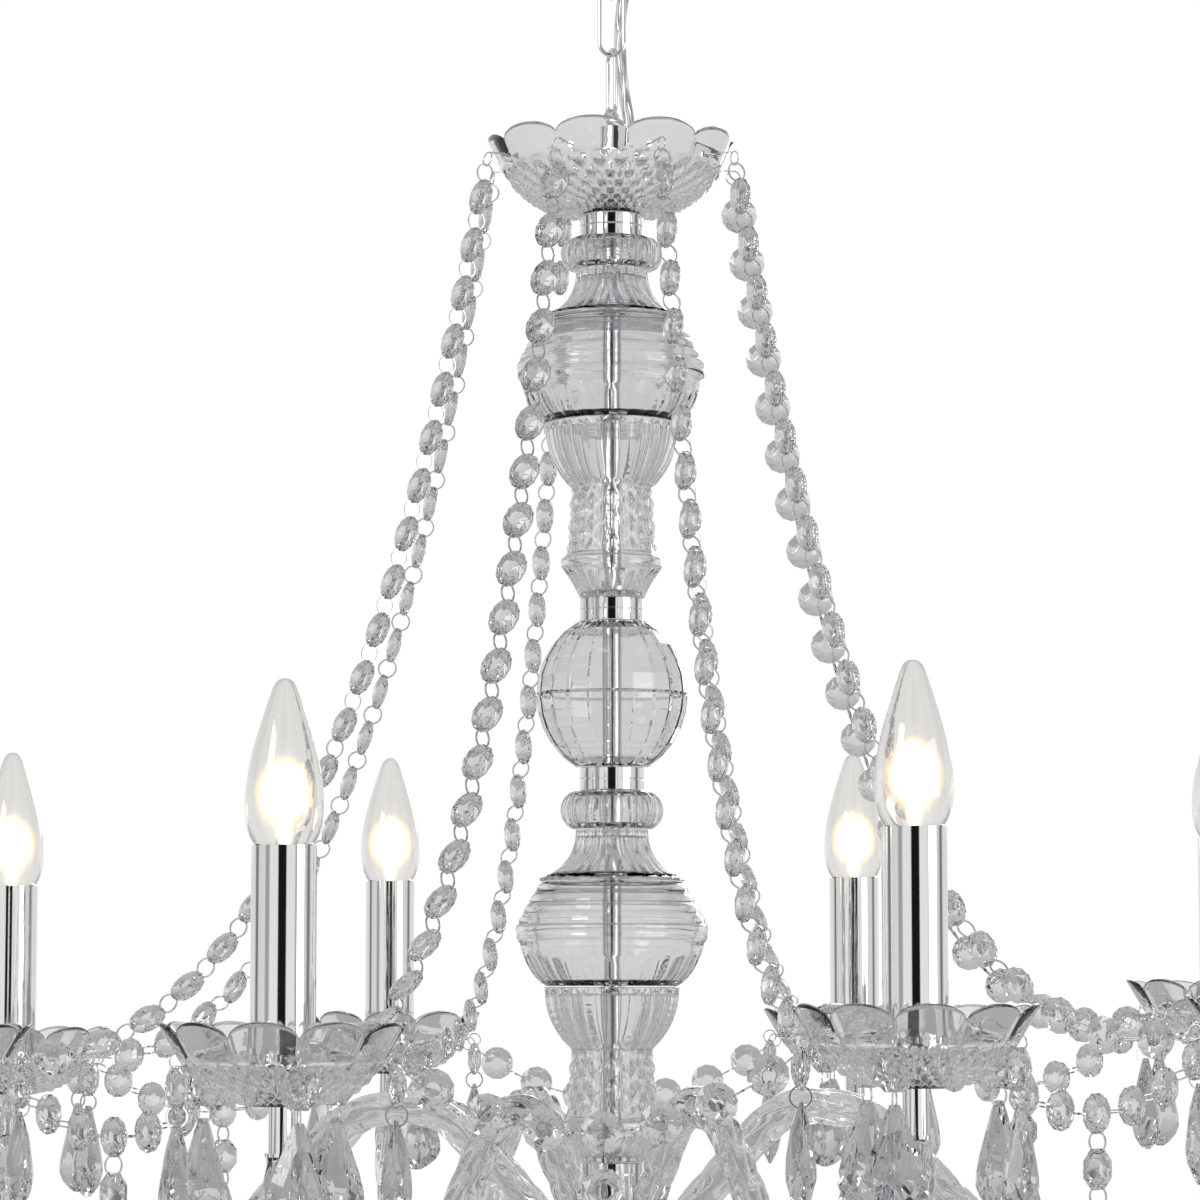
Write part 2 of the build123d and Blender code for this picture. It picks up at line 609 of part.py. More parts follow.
def arm_path(k):
    """The centreline of one arm in the XZ plane, from its cup in the hub to its ferrule."""
    foot = PAN_FOOT + LAMP_RISE[k] - FERRULE_HEIGHT
    crest_r, crest_z = ARM_CREST_END
    trough_z = crest_z + LAMP_RISE[k] + (LAMP_CIRCLE - crest_r) * tan(radians(ARM_SLOPE))
    return FilletPolyline(
        (SOCKET_CIRCLE, 0, SOCKET_FLOOR),
        (ARM_SHOULDER[0], 0, ARM_SHOULDER[1]),
        (ARM_RISE_END[0], 0, ARM_RISE_END[1]),
        (crest_r, 0, crest_z),
        (LAMP_CIRCLE, 0, trough_z),
        (LAMP_CIRCLE, 0, foot),
        radius=[ARM_FOOT_BEND, ARM_CREST_BEND, ARM_CREST_BEND, ARM_TROUGH_BEND],
    )


def along_arm(k, outer_r, inner_r=0.0):
    path = arm_path(k)
    section = Circle(outer_r) - Circle(inner_r) if inner_r else Circle(outer_r)
    return Rot(0, 0, arm_turn(k)) * sweep(Plane(origin=path @ 0, z_dir=path % 0) * section, path)


def arm(k):
    """A clear glass tube that rises from the hub, crests, dips and comes up under its pan."""
    return along_arm(k, ARM_R, ARM_BORE_R)


def arm_wire(k):
    """The pair of wires in an arm, cut square where the ferrule's spigot begins."""
    cut = lamp_place(k) * Pos(0, 0, -FERRULE_HEIGHT - SPIGOT_LENGTH + 20) * Cylinder(2 * ARM_R, 40)
    return along_arm(k, ARM_WIRE_R) - cut


def ferrule():
    """The chrome fitting under a pan: a spigot down in the arm, and a nipple up through the pan."""
    body = rod(FERRULE_R, -FERRULE_HEIGHT, 0)
    flange = rod(FERRULE_FLANGE_R, -FERRULE_HEIGHT, -FERRULE_HEIGHT + FERRULE_FLANGE)
    spigot = rod(SPIGOT_R, -FERRULE_HEIGHT - SPIGOT_LENGTH, -FERRULE_HEIGHT)
    nipple = rod(NIPPLE_R, 0, NIPPLE_REACH)
    return body + flange + spigot + nipple - rod(ARM_WIRE_R, -60, 60)


def pan():
    """A scalloped glass drip pan with a hole for each pin that something hangs from."""
    bowl = Rot(0, 0, 180 / PETALS) * petal_bowl(
        PAN_RIM_R, PAN_HEIGHT, PAN_FOOT_R, PAN_WAIST, PAN_SHOULDER, NIPPLE_R + ROD_PLAY
    )
    pin_hole = Pos(PAN_SHOULDER[0], 0, PAN_PIN_RISE) * Rot(0, 90, 0) * Cylinder(PIN_HOLE_R, 24)
    turns = [*PAN_PIN_TURNS, TIE_PIN_OFFSET, 72 - SWAG_PIN_OFFSET, 288 + SWAG_PIN_OFFSET]
    return bowl - [Rot(0, 0, turn) * pin_hole for turn in turns]


def candle_sleeve():
    return tube(SLEEVE_R, SLEEVE_R - SLEEVE_WALL, GLASS_WALL, SLEEVE_TOP)


def lamp_holder():
    """The screw lampholder inside the sleeve, on the ferrule's nipple."""
    body = rod(HOLDER_R, GLASS_WALL, HOLDER_TOP)
    bore = rod(CAP_R + CAP_PLAY, HOLDER_TOP - HOLDER_BORE_DEPTH, HOLDER_TOP + 1)
    return body - bore - rod(NIPPLE_R + 0.1, 0, NIPPLE_REACH + 0.2)


def bulb():
    """A candle bulb: a screw cap and a thin glass envelope that ends in a soft point."""
    neck = HOLDER_TOP + BULB_GAP
    top = SLEEVE_TOP + BULB_HEIGHT - 2.0
    wide = neck + 33.0
    wall = BULB_WALL
    outer = turned(
        (0, neck),
        (BULB_NECK_R, neck),
        ((BULB_R - 3.0, neck + 13.0), (BULB_R, wide)),
        ((BULB_R - 4.6, wide + 29.0), (3.0, top)),
        (0, top),
    )
    inner = turned(
        (0, neck + wall),
        (BULB_NECK_R - wall, neck + wall),
        ((BULB_R - 3.0 - wall, neck + 13.0), (BULB_R - wall, wide)),
        ((BULB_R - 4.6 - wall, wide + 28.5), (2.0, top - wall - 0.6)),
        (0, top - wall - 0.6),
    )
    cap = rod(CAP_R, neck - CAP_HEIGHT, neck)
    return group([outer - inner, cap])


# --- Strings, swags and pendants ---------------------------------------------------------------------
def disc(holes=2):
    """A round cut disc on Z, with a hole at each end of its X, and one on -Y if it carries a pendant."""
    half, edge = DISC_THICK / 2, DISC_EDGE / 2
    body = turned(
        (0, half),
        (DISC_TABLE_R, half),
        (DISC_HOLE_IN - WIRE_HOLE_R, edge),
        (DISC_R, edge),
        (DISC_R, -edge),
        (DISC_HOLE_IN - WIRE_HOLE_R, -edge),
        (DISC_TABLE_R, -half),
        (0, -half),
    )
    return body - [wire_hole(DISC_HOLE_IN, turn) for turn in (0, 180, 270)[:holes]]


def joining_ring(bend_r=RING_R, wire=RING_WIRE):
    """A thin wire ring on Z."""
    return tube(bend_r + wire / 2, bend_r - wire / 2, -wire / 2, wire / 2)


def bead():
    """An eight-sided bead with a hole at its top and its foot: its face is on Z and its height along X."""
    half, edge = BEAD_THICK / 2, DISC_EDGE / 2
    rim = extrude(Rot(0, 0, 22.5) * RegularPolygon(BEAD_R, 8), edge, both=True)
    flat_from = BEAD_HOLE_IN - WIRE_HOLE_R
    front = turned(
        (0, half), (BEAD_TABLE_R, half), (flat_from, edge),
        (flat_from, -edge), (BEAD_TABLE_R, -half), (0, -half),
    )
    return rim + front - [wire_hole(BEAD_HOLE_IN, turn) for turn in (0, 180)]


def drop():
    """An almond drop with flat facets: its face is on Z, its hole is at the origin and it hangs along +X."""
    side = [(x * DROP_LENGTH - DROP_HOLE_DOWN, y * DROP_WIDTH / 2) for x, y in DROP_OUTLINE]
    girdle = side + [(x, -y) for x, y in reversed(side)]
    middle_x = DROP_LENGTH * DROP_TABLE_DOWN - DROP_HOLE_DOWN
    table = [(middle_x + (x - middle_x) * DROP_TABLE, y * DROP_TABLE) for x, y in girdle]
    levels = ((table, -DROP_THICK / 2), (girdle, 0), (table, DROP_THICK / 2))
    return cut_glass([[Vector(x, y, z) for x, y in level] for level, z in levels]) - wire_hole(0)


def pin(length):
    """A headed pin along +X from its ring's edge at the origin, back to its head inside the glass."""
    shank = Pos(-length / 2, 0, 0) * Rot(0, 90, 0) * Cylinder(PIN_R, length)
    head = Pos(-length - PIN_HEAD / 2, 0, 0) * Rot(0, 90, 0) * Cylinder(PIN_HEAD_R, PIN_HEAD)
    return shank + head


class HangingLine:
    """A heavy line of a given length between two points, which hangs in a catenary."""

    def __init__(self, start, end, length):
        self.start = start
        flat = Vector(end.X - start.X, end.Y - start.Y, 0)
        self.span = flat.length
        self.way = flat.normalized()
        drop = end.Z - start.Z
        slack = sqrt(length**2 - drop**2) / self.span
        low, high = 1e-6, 20.0
        for _ in range(60):
            middle = (low + high) / 2
            if sinh(middle) / middle < slack:
                low = middle
            else:
                high = middle
        self.scale = self.span / (2 * low)
        self.lowest = (self.span - self.scale * log((length + drop) / (length - drop))) / 2

    def at(self, distance):
        """The point at a distance along the line."""
        scale_, lowest = self.scale, self.lowest
        x = lowest + scale_ * asinh(distance / scale_ - sinh(lowest / scale_))
        rise = scale_ * (cosh((x - lowest) / scale_) - cosh(lowest / scale_))
        return self.start + self.way * x + Vector(0, 0, rise)


PIN_REACH = 2 * PIN_RING_R - (PIN_R + RING_WIRE / 2 + WIRE_PLAY)
DISC_STEP = 2 * DISC_HOLE_IN + 2 * RING_R


def line_length(discs):
    return 2 * (PIN_REACH + 2 * RING_R) + 2 * DISC_HOLE_IN * discs + 2 * RING_R * (discs - 1)


def squared(direction, along):
    """A direction made square to another."""
    return (direction - along * direction.dot(along)).normalized()


def hung(start, end, discs, facing):
    """Where the discs, the joining rings and the two end rings of a string stand, each face on its normal."""
    length = line_length(discs)
    line = HangingLine(start, end, length)
    places = {"discs": [], "rings": [], "ends": []}
    centres = [PIN_REACH + 2 * RING_R + DISC_HOLE_IN + DISC_STEP * k for k in range(discs)]
    holes = [line.at(PIN_REACH)]
    for s in centres:
        ahead = (line.at(s + DISC_HOLE_IN) - line.at(s - DISC_HOLE_IN)).normalized()
        centre = line.at(s)
        normal = squared(facing, ahead)
        places["discs"].append(placed(centre, normal, ahead))
        holes += [centre - ahead * DISC_HOLE_IN, centre + ahead * DISC_HOLE_IN]
    holes.append(line.at(length - PIN_REACH))
    for one, two in zip(holes[::2], holes[1::2]):
        ahead = (two - one).normalized()
        across = squared(facing, ahead).cross(ahead)
        places["rings"].append(placed((one + two) * 0.5, across, ahead))
    for pin_end, inside in ((start, line.at(PIN_REACH)), (end, line.at(length - PIN_REACH))):
        ahead = (inside - pin_end).normalized()
        places["ends"].append(placed(pin_end + ahead * PIN_RING_R, squared(facing, ahead), ahead))
    return places


def pan_pin_end(k, turn):
    """The end of a pan's pin, where its ring begins, at a direction counted from the one to the column."""
    radius = flared_r(PAN_PIN_RISE, PAN_RIM_R, PAN_HEIGHT, PAN_SHOULDER) + PIN_STAND
    centre = out_at(arm_turn(k), LAMP_CIRCLE, PAN_FOOT + LAMP_RISE[k] + PAN_PIN_RISE)
    return centre + out_at(arm_turn(k) + 180 + turn, radius)


def string_places(k):
    start = out_at(arm_turn(k), DISH_PIN_END_R, DISH_FOOT + DISH_PIN_RISE)
    return hung(start, pan_pin_end(k, TIE_PIN_OFFSET), STRING_DISCS, out_at(STRING_FACING[k], 1))


def swag_places(k):
    """The swag from lamp k to the next one."""
    after = (k + 1) % ARMS
    start = pan_pin_end(k, 288 + SWAG_PIN_OFFSET)
    end = pan_pin_end(after, 72 - SWAG_PIN_OFFSET)
    along = Vector(end.X - start.X, end.Y - start.Y, 0).normalized()
    return hung(start, end, SWAG_DISCS, along.cross(Vector(0, 0, 1)))


def pendant_places(top_hole, facing):
    """The bead, the ring and the drop that hang from a hole's height, all facing one way."""
    down = Vector(0, 0, -1)
    side = facing.cross(down)
    bead_centre = top_hole + down * BEAD_HOLE_IN
    ring_top = bead_centre + down * BEAD_HOLE_IN
    return {
        "bead": placed(bead_centre, facing, down),
        "ring": placed(ring_top + down * RING_R, side, down),
        "drop": placed(ring_top + down * 2 * RING_R, facing, down),
    }


def pan_pendants(k):
    """The five pendants of one pan, each on its pin's ring."""
    found = []
    for turn in PAN_PIN_TURNS:
        facing = out_at(arm_turn(k) + 180 + turn, 1)
        hole = pan_pin_end(k, turn) + facing * PIN_RING_R - Vector(0, 0, PIN_RING_R)
        found.append(pendant_places(hole, facing))
    return found


def swag_pendant(k):
    """The pendant under a swag's middle disc, with the ring that joins them."""
    middle = swag_places(k)["discs"][SWAG_DISCS // 2]
    facing = middle.z_axis.direction
    down = middle.y_axis.direction if middle.y_axis.direction.Z < 0 else middle.y_axis.direction * -1
    hole = middle.position + down * DISC_HOLE_IN
    ring = placed(hole + Vector(0, 0, -RING_R), facing.cross(Vector(0, 0, -1)), Vector(0, 0, -1))
    return pendant_places(hole - Vector(0, 0, 2 * RING_R), facing), ring


def pins_and_rings(k):
    """A pan's pins: five for the pendants, one for the string and two for the swags."""
    end_r = flared_r(PAN_PIN_RISE, PAN_RIM_R, PAN_HEIGHT, PAN_SHOULDER) + PIN_STAND
    length = PIN_STAND + GLASS_WALL + 3.4
    pieces = []
    ends = {
        TIE_PIN_OFFSET: string_places(k)["ends"][1],
        72 - SWAG_PIN_OFFSET: swag_places((k - 1) % ARMS)["ends"][1],
        288 + SWAG_PIN_OFFSET: swag_places(k)["ends"][0],
    }
    ring = wire_ring(PIN_RING_R, PIN_R * 0.8)
    for turn in PAN_PIN_TURNS:
        place = lamp_place(k) * Rot(0, 0, arm_turn(k) + 180 + turn) * Pos(end_r, 0, PAN_PIN_RISE)
        pieces.append(place * (pin(length) + Pos(PIN_RING_R, 0, 0) * Rot(90, 0, 0) * ring))
    for turn, end in ends.items():
        place = lamp_place(k) * Rot(0, 0, arm_turn(k) + 180 + turn) * Pos(end_r, 0, PAN_PIN_RISE)
        pieces.append(place * pin(length) + end * ring)
    return pieces


def dish_pins():
    ring = wire_ring(PIN_RING_R, PIN_R * 0.8)
    length = DISH_PIN_END_R - DISH_RIM_R + 14.0
    pieces = []
    for k in range(ARMS):
        place = Rot(0, 0, arm_turn(k)) * Pos(DISH_PIN_END_R, 0, DISH_FOOT + DISH_PIN_RISE)
        pieces.append(place * pin(length) + string_places(k)["ends"][0] * ring)
    return group(pieces)


# --- Supply flex -------------------------------------------------------------------------------------
def flex_points():
    return [Vector(*point) for point in (*FLEX_ROUTE, (*BUSH_PLACE, BUSH_FOOT + BUSH_HEIGHT))]


def flex_radii(points):
    """The largest arc that each corner's two runs allow."""
    radii = []
    for before, here, after in zip(points, points[1:], points[2:]):
        turn = (here - before).get_angle(after - here)
        run = min((here - before).length, (after - here).length)
        radii.append(0.45 * run / tan(radians(turn / 2)))
    return radii


def flex():
    points = flex_points()
    radii = flex_radii(points)
    path = FilletPolyline(*points, radius=radii)
    tube_ = sweep(Plane(origin=path @ 0, z_dir=path % 0) * Circle(FLEX_R), path)
    section = pi * FLEX_R**2
    print("flex radii", [round(r, 1) for r in radii], "length", round(path.length, 1))
    print("flex volume over section times length", round(tube_.volume / (section * path.length), 4))
    return tube_


# --- The chandelier ----------------------------------------------------------------------------------
def at_lamps(piece):
    return [lamp_place(k) * piece for k in range(ARMS)]


def parts():
    strings = [string_places(k) for k in range(ARMS)]
    swags = [swag_places(k) for k in range(ARMS)]
    swag_pendants = [swag_pendant(k) for k in range(ARMS)]
    pendants = [places for k in range(ARMS) for places in pan_pendants(k)]
    pendants += [places for places, _ in swag_pendants]
    cut_disc, middle_disc, link_ring, cut_bead, cut_drop = disc(), disc(3), joining_ring(), bead(), drop()
    rings = [place for line in strings + swags for place in line["rings"]]
    rings += [ring for _, ring in swag_pendants] + [places["ring"] for places in pendants]
    middle = SWAG_DISCS // 2
    swag_discs = []
    for line in swags:
        for number, place in enumerate(line["discs"]):
            swag_discs.append(place * (middle_disc if number == middle else cut_disc))

    nodes = {
        "ceiling_bracket": ceiling_bracket(),
        "ceiling_hook": ceiling_hook(),
        "ceiling_cup": ceiling_cup(),
        "cup_screws": cup_screws(),
        "terminal_block": terminal_block(),
        "chain_link_upper": chain_link(UPPER_LINK_TOP, 0.0),
        "chain_link_lower": chain_link(LOWER_LINK_TOP, LOWER_LINK_TURN),
        "top_loop": top_loop(),
        "supply_flex": flex(),
        "flex_bush": flex_bush(),
        "centre_rod": centre_rod(),
        "rod_nut": rod_nut(),
        "top_dish": top_dish(),
        "dish_pins": dish_pins(),
        "collars": collars(),
        "upper_melon_ring": melon_ring(UPPER_MELON, UPPER_MELON_HEIGHT),
        "upper_bell": bell(UPPER_BELL),
        "upper_bowl": bowl(UPPER_BOWL),
        "upper_stem": stem(UPPER_STEM, UPPER_GOBLET_HEIGHT),
        "centre_ball": centre_ball(),
        "lower_melon_ring": melon_ring(LOWER_MELON, LOWER_MELON_HEIGHT),
        "lower_bell": bell(LOWER_BELL),
        "lower_bowl": bowl(LOWER_BOWL),
        "lower_stem": stem(LOWER_STEM, LOWER_GOBLET_HEIGHT),
        "hub": hub(),
        "hub_set_screw": hub_set_screw(),
        "hub_cover": hub_cover(),
        "bottom_dish": bottom_dish(),
        "finial": finial(),
        "hanging_ball": hanging_ball(),
        "arm_wires": group([arm_wire(k) for k in range(ARMS)]),
        "arm_ferrules": group(at_lamps(ferrule())),
        "drip_pans": group([lamp_place(k) * Rot(0, 0, arm_turn(k) + 180) * pan() for k in range(ARMS)]),
        "candle_sleeves": group(at_lamps(candle_sleeve())),
        "lamp_holders": group(at_lamps(lamp_holder())),
        "pan_pins": group([piece for k in range(ARMS) for piece in pins_and_rings(k)]),
        "string_discs": group([place * cut_disc for line in strings for place in line["discs"]]),
        "swag_discs": group(swag_discs),
        "joining_rings": group([place * link_ring for place in rings]),
        "pendant_beads": group([places["bead"] * cut_bead for places in pendants]),
        "pendant_drops": group([places["drop"] * cut_drop for places in pendants]),
    }
    for k in range(ARMS):
        nodes[f"arm_{k + 1}"] = arm(k)
        nodes[f"bulb_{k + 1}"] = lamp_place(k) * bulb()
    return nodes


os.makedirs("parts", exist_ok=True)
for name, shape in parts().items():
    export_step(shape, f"parts/{name}.step")
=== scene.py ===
# %% [markdown]
# # A crystal chandelier on two chain links
# The real object is an eight-arm chandelier of clear moulded glass on a chrome rod, with strings of cut
# discs. The frame holds every part in its place. This lesson gives the glass its cut pattern, the metal
# its polish and the lamps their light. All sizes are in metres, in the frame of the parts.

# %% Load the frame
import json

import bpy
import numpy as np
from mathutils import Euler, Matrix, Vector


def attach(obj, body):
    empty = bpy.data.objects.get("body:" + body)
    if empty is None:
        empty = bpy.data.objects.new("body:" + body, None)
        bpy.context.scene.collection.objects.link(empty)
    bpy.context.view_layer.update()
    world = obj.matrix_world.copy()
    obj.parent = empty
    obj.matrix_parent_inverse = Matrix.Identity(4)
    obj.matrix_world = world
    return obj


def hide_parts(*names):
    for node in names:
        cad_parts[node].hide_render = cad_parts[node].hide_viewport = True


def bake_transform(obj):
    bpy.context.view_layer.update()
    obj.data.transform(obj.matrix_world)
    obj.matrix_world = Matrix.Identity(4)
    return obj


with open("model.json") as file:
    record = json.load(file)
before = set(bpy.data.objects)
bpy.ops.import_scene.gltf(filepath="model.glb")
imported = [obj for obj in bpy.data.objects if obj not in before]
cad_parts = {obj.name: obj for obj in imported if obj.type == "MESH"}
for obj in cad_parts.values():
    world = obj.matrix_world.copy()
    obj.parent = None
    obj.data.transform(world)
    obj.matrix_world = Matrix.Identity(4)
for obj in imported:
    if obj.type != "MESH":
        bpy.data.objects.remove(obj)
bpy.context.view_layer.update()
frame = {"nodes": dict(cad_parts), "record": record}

MM = 0.001
TAU = 2 * np.pi

# %% [markdown]
# ## The camera
# The photograph looks at the column from about its middle, slightly upwards, from a little over two
# metres. A long lens keeps the near and the far lamps close in size. The camera could be found by trial,
# but a lens and a distance worked out from the widths of the near and far lamps are more exact.

# %% Camera
CAMERA_DISTANCE = 2.190
CAMERA_HEIGHT = -0.612
CAMERA_SIDE = np.radians(1.0)  # the camera stands this far round to the right
CAMERA_TILT = np.radians(5.43)
CAMERA_YAW = np.radians(0.163)
LENS = 126.5

camera_data = bpy.data.cameras.new("photo_camera")
camera_data.lens = LENS
camera_data.sensor_width = 36.0
camera_data.clip_end = 60.0
camera = bpy.data.objects.new("photo_camera", camera_data)
bpy.context.scene.collection.objects.link(camera)
camera.location = (
    CAMERA_DISTANCE * np.sin(CAMERA_SIDE),
    -CAMERA_DISTANCE * np.cos(CAMERA_SIDE),
    CAMERA_HEIGHT,
)
camera.rotation_euler = Euler((np.pi / 2 + CAMERA_TILT, 0.0, CAMERA_SIDE + CAMERA_YAW))
bpy.context.scene.camera = camera
print("camera", [round(v, 3) for v in camera.location])

# %% [markdown]
# ## The flex
# A clear flex with silver cores leaves the terminal block in the ceiling cup, comes out of the cup's mouth
# and goes down behind the links into a bush on the column's loop. It is one smooth curve, so a spline with
# a few control points is the natural choice, and its line bends as a real flex does.

# %% Flex curve
FLEX_DIAMETER = 0.0063
FLEX_POINTS_MM = (
    (22.0, 0.0, -14.5),
    (22.0, 0.0, -31.0),
    (16.5, 2.4, -50.0),
    (7.6, 4.9, -70.0),
    (5.3, 5.3, -88.0),
    (3.9, 5.0, -104.0),
    (5.2, 5.1, -122.0),
    (7.0, 5.4, -138.0),
    (9.4, 6.6, -150.0),
    (9.4, 6.6, -161.0),
)


def smooth_line(points_mm):
    """The points of a smooth line: a spline pulled towards each control point in turn."""
    data = bpy.data.curves.new("smooth_line", "CURVE")
    data.dimensions = "3D"
    spline = data.splines.new("NURBS")
    spline.points.add(len(points_mm) - 1)
    for point, place in zip(spline.points, points_mm):
        point.co = (*(v * MM for v in place), 1.0)
    spline.order_u = 3
    spline.use_endpoint_u = True
    spline.resolution_u = 12
    line = bpy.data.objects.new("smooth_line", data)
    bpy.context.scene.collection.objects.link(line)
    mesh = bpy.data.meshes.new_from_object(line)
    found = np.empty(len(mesh.vertices) * 3)
    mesh.vertices.foreach_get("co", found)
    bpy.data.objects.remove(line)
    bpy.data.meshes.remove(mesh)
    return found.reshape(-1, 3)


flex_line = smooth_line(FLEX_POINTS_MM)

# %% [markdown]
# ## Tools for surfaces
# Every glass piece is a surface with two directions: round the column, and along its outline. One helper
# turns a grid of points into a mesh. Working on whole arrays is quick, and the same helper serves a dish,
# a bell and a twisted arm.

# %% Mesh helpers
def new_object(name, points, faces, smooth=True):
    """A mesh object from points (n, 3) in metres and a list of faces."""
    mesh = bpy.data.meshes.new(name)
    mesh.from_pydata(points.tolist(), [], faces)
    mesh.polygons.foreach_set("use_smooth", np.full(len(mesh.polygons), smooth))
    mesh.update()
    obj = bpy.data.objects.new(name, mesh)
    bpy.context.scene.collection.objects.link(obj)
    return obj


def grid_faces(rows, columns):
    """Four-sided faces of a grid that closes on itself both ways, so it has no open edge and no pole."""
    index = np.arange(rows * columns).reshape(rows, columns)
    right = np.roll(index, -1, axis=1)
    up = np.roll(index, -1, axis=0)
    across = np.roll(right, -1, axis=0)
    return np.stack([index, right, across, up], axis=-1).reshape(-1, 4)


def capped_faces(rows, columns):
    """Three-sided faces of stacked rings, with a fan to one more point at each end."""
    index = np.arange(rows * columns).reshape(rows, columns)
    right = np.roll(index, -1, axis=1)
    quads = np.stack([index[:-1], right[:-1], right[1:], index[1:]], axis=-1).reshape(-1, 4)
    first = np.stack([right[0], index[0], np.full(columns, rows * columns)], axis=-1)
    last = np.stack([index[-1], right[-1], np.full(columns, rows * columns + 1)], axis=-1)
    return np.concatenate([quads[:, [0, 1, 2]], quads[:, [0, 2, 3]], first, last])


def outline_along(corners, count):
    """Points spread along an outline of (radius, height) corners, as many to a stretch as its length asks.

    The outline is a closed loop: up the outside and back down the inside.
    """
    corners = np.asarray(corners, float)
    loop = np.vstack([corners, corners[:1]])
    steps = np.linalg.norm(np.diff(loop, axis=0), axis=1)
    total = np.concatenate([[0.0], np.cumsum(steps)])
    extra = np.linspace(0.0, total[-1], count, endpoint=False)
    at = np.unique(np.round(np.concatenate([total[:-1], extra]), 6))
    return np.stack([np.interp(at, total, loop[:, 0]), np.interp(at, total, loop[:, 1])], axis=1)


def arc(start, middle, end, count=8):
    """Points on the circle through three (radius, height) points."""
    (ax, ay), (bx, by), (cx, cy) = start, middle, end
    d = 2 * (ax * (by - cy) + bx * (cy - ay) + cx * (ay - by))
    ux = ((ax**2 + ay**2) * (by - cy) + (bx**2 + by**2) * (cy - ay) + (cx**2 + cy**2) * (ay - by)) / d
    uy = ((ax**2 + ay**2) * (cx - bx) + (bx**2 + by**2) * (ax - cx) + (cx**2 + cy**2) * (bx - ax)) / d
    angles = np.unwrap([np.arctan2(y - uy, x - ux) for x, y in (start, middle, end)])
    share = np.linspace(0.0, 1.0, count + 1)
    angle = angles[0] + (angles[2] - angles[0]) * share
    reach = np.hypot(ax - ux, ay - uy)
    return [(ux + reach * np.cos(a), uy + reach * np.sin(a)) for a in angle]


def turned_points(outline, around, shape=None):
    """Points of an outline carried round Z. shape(radius, height, angle) gives the radius its cut pattern."""
    angle = np.linspace(0.0, TAU, around, endpoint=False)[None, :]
    radius = outline[:, :1] + 0 * angle
    height = outline[:, 1:] + 0 * angle
    if shape is not None:
        radius, height = shape(radius, height, angle)
    return np.stack([radius * np.cos(angle), radius * np.sin(angle), height], axis=-1) * MM


def turned_piece(name, corners, count, around, shape=None, lift=0.0):
    """A closed hollow glass piece turned about the column, from its (radius, height) outline in mm."""
    outline = outline_along(corners, count)
    grid = turned_points(outline, around, shape)
    rows, columns = grid.shape[:2]
    points = grid.reshape(-1, 3) + np.array([0.0, 0.0, lift * MM])
    return new_object(name, points, outward(points, grid_faces(rows, columns)).tolist())


def outward(points, faces):
    """The faces of a closed surface, each turned so that it looks out: the volume they hold is positive."""
    a, b, c = (points[faces[:, k]] for k in (0, 1, 2))
    d = points[faces[:, 3]] if faces.shape[1] == 4 else c
    volume = np.einsum("ij,ij->", a, np.cross(b, c)) + np.einsum("ij,ij->", a, np.cross(c, d))
    return faces[:, ::-1] if volume < 0 else faces


def copies(points, faces, places):
    """The points and faces of one shape repeated at many places, each a 3x4 array of turn and shift."""
    places = np.asarray(places)
    moved = np.einsum("pij,nj->pni", places[:, :, :3], points) + places[:, None, :, 3]
    step = np.arange(len(places))[:, None, None] * len(points)
    return moved.reshape(-1, 3), (faces[None] + step).reshape(-1, faces.shape[1])


def place_of(x_axis, z_axis, origin):
    """A 3x4 place from two axes and an origin."""
    y_axis = np.cross(z_axis, x_axis)
    return np.stack([x_axis, y_axis, z_axis, origin], axis=1)


print("helpers ready")

# %% [markdown]
# ## Glass, metal and light: the materials
# Clear glass has no colour of its own. What shows is what it bends: the white room, and dark strips where
# the room is dark. So the glass here is a plain transmitting surface with a slightly uneven skin, as
# moulded glass has, and the room has dark strips for it to bend.

# %% Material helpers
def new_material(name):
    material = bpy.data.materials.new(name)
    material.use_nodes = True
    return material, material.node_tree.nodes["Principled BSDF"]


def set_inputs(node, values):
    for name, value in values.items():
        node.inputs[name].default_value = value


def add_skin(material, shader, scale, depth, stretch=(1.0, 1.0, 1.0)):
    """A fine unevenness on the surface: noise in the piece's own space, as a bump of a given depth."""
    nodes, links = material.node_tree.nodes, material.node_tree.links
    where = nodes.new("ShaderNodeTexCoord")
    mapping = nodes.new("ShaderNodeMapping")
    set_inputs(mapping, {"Scale": stretch})
    noise = nodes.new("ShaderNodeTexNoise")
    set_inputs(noise, {"Scale": scale, "Detail": 3.0})
    bump = nodes.new("ShaderNodeBump")
    set_inputs(bump, {"Strength": 1.0, "Distance": depth})
    links.new(where.outputs["Object"], mapping.inputs["Vector"])
    links.new(mapping.outputs["Vector"], noise.inputs["Vector"])
    links.new(noise.outputs["Fac"], bump.inputs["Height"])
    links.new(bump.outputs["Normal"], shader.inputs["Normal"])
    return noise


def roughness_from(material, shader, noise, low, high):
    """Fine differences in polish, read from the same noise as the skin."""
    nodes, links = material.node_tree.nodes, material.node_tree.links
    spread = nodes.new("ShaderNodeMapRange")
    set_inputs(spread, {"To Min": low, "To Max": high})
    links.new(noise.outputs["Fac"], spread.inputs["Value"])
    links.new(spread.outputs["Result"], shader.inputs["Roughness"])


def glass(name, tint, ior, skin_scale, skin_depth, rough=(0.0, 0.03)):
    material, shader = new_material(name)
    set_inputs(shader, {"Base Color": (*tint, 1.0), "Transmission Weight": 1.0, "IOR": ior})
    noise = add_skin(material, shader, skin_scale, skin_depth)
    roughness_from(material, shader, noise, *rough)
    return material


def metal(name, colour, rough, skin_scale=60.0, skin_depth=0.00002, stretch=(1.0, 1.0, 1.0)):
    material, shader = new_material(name)
    set_inputs(shader, {"Base Color": (*colour, 1.0), "Metallic": 1.0})
    noise = add_skin(material, shader, skin_scale, skin_depth, stretch)
    roughness_from(material, shader, noise, *rough)
    return material


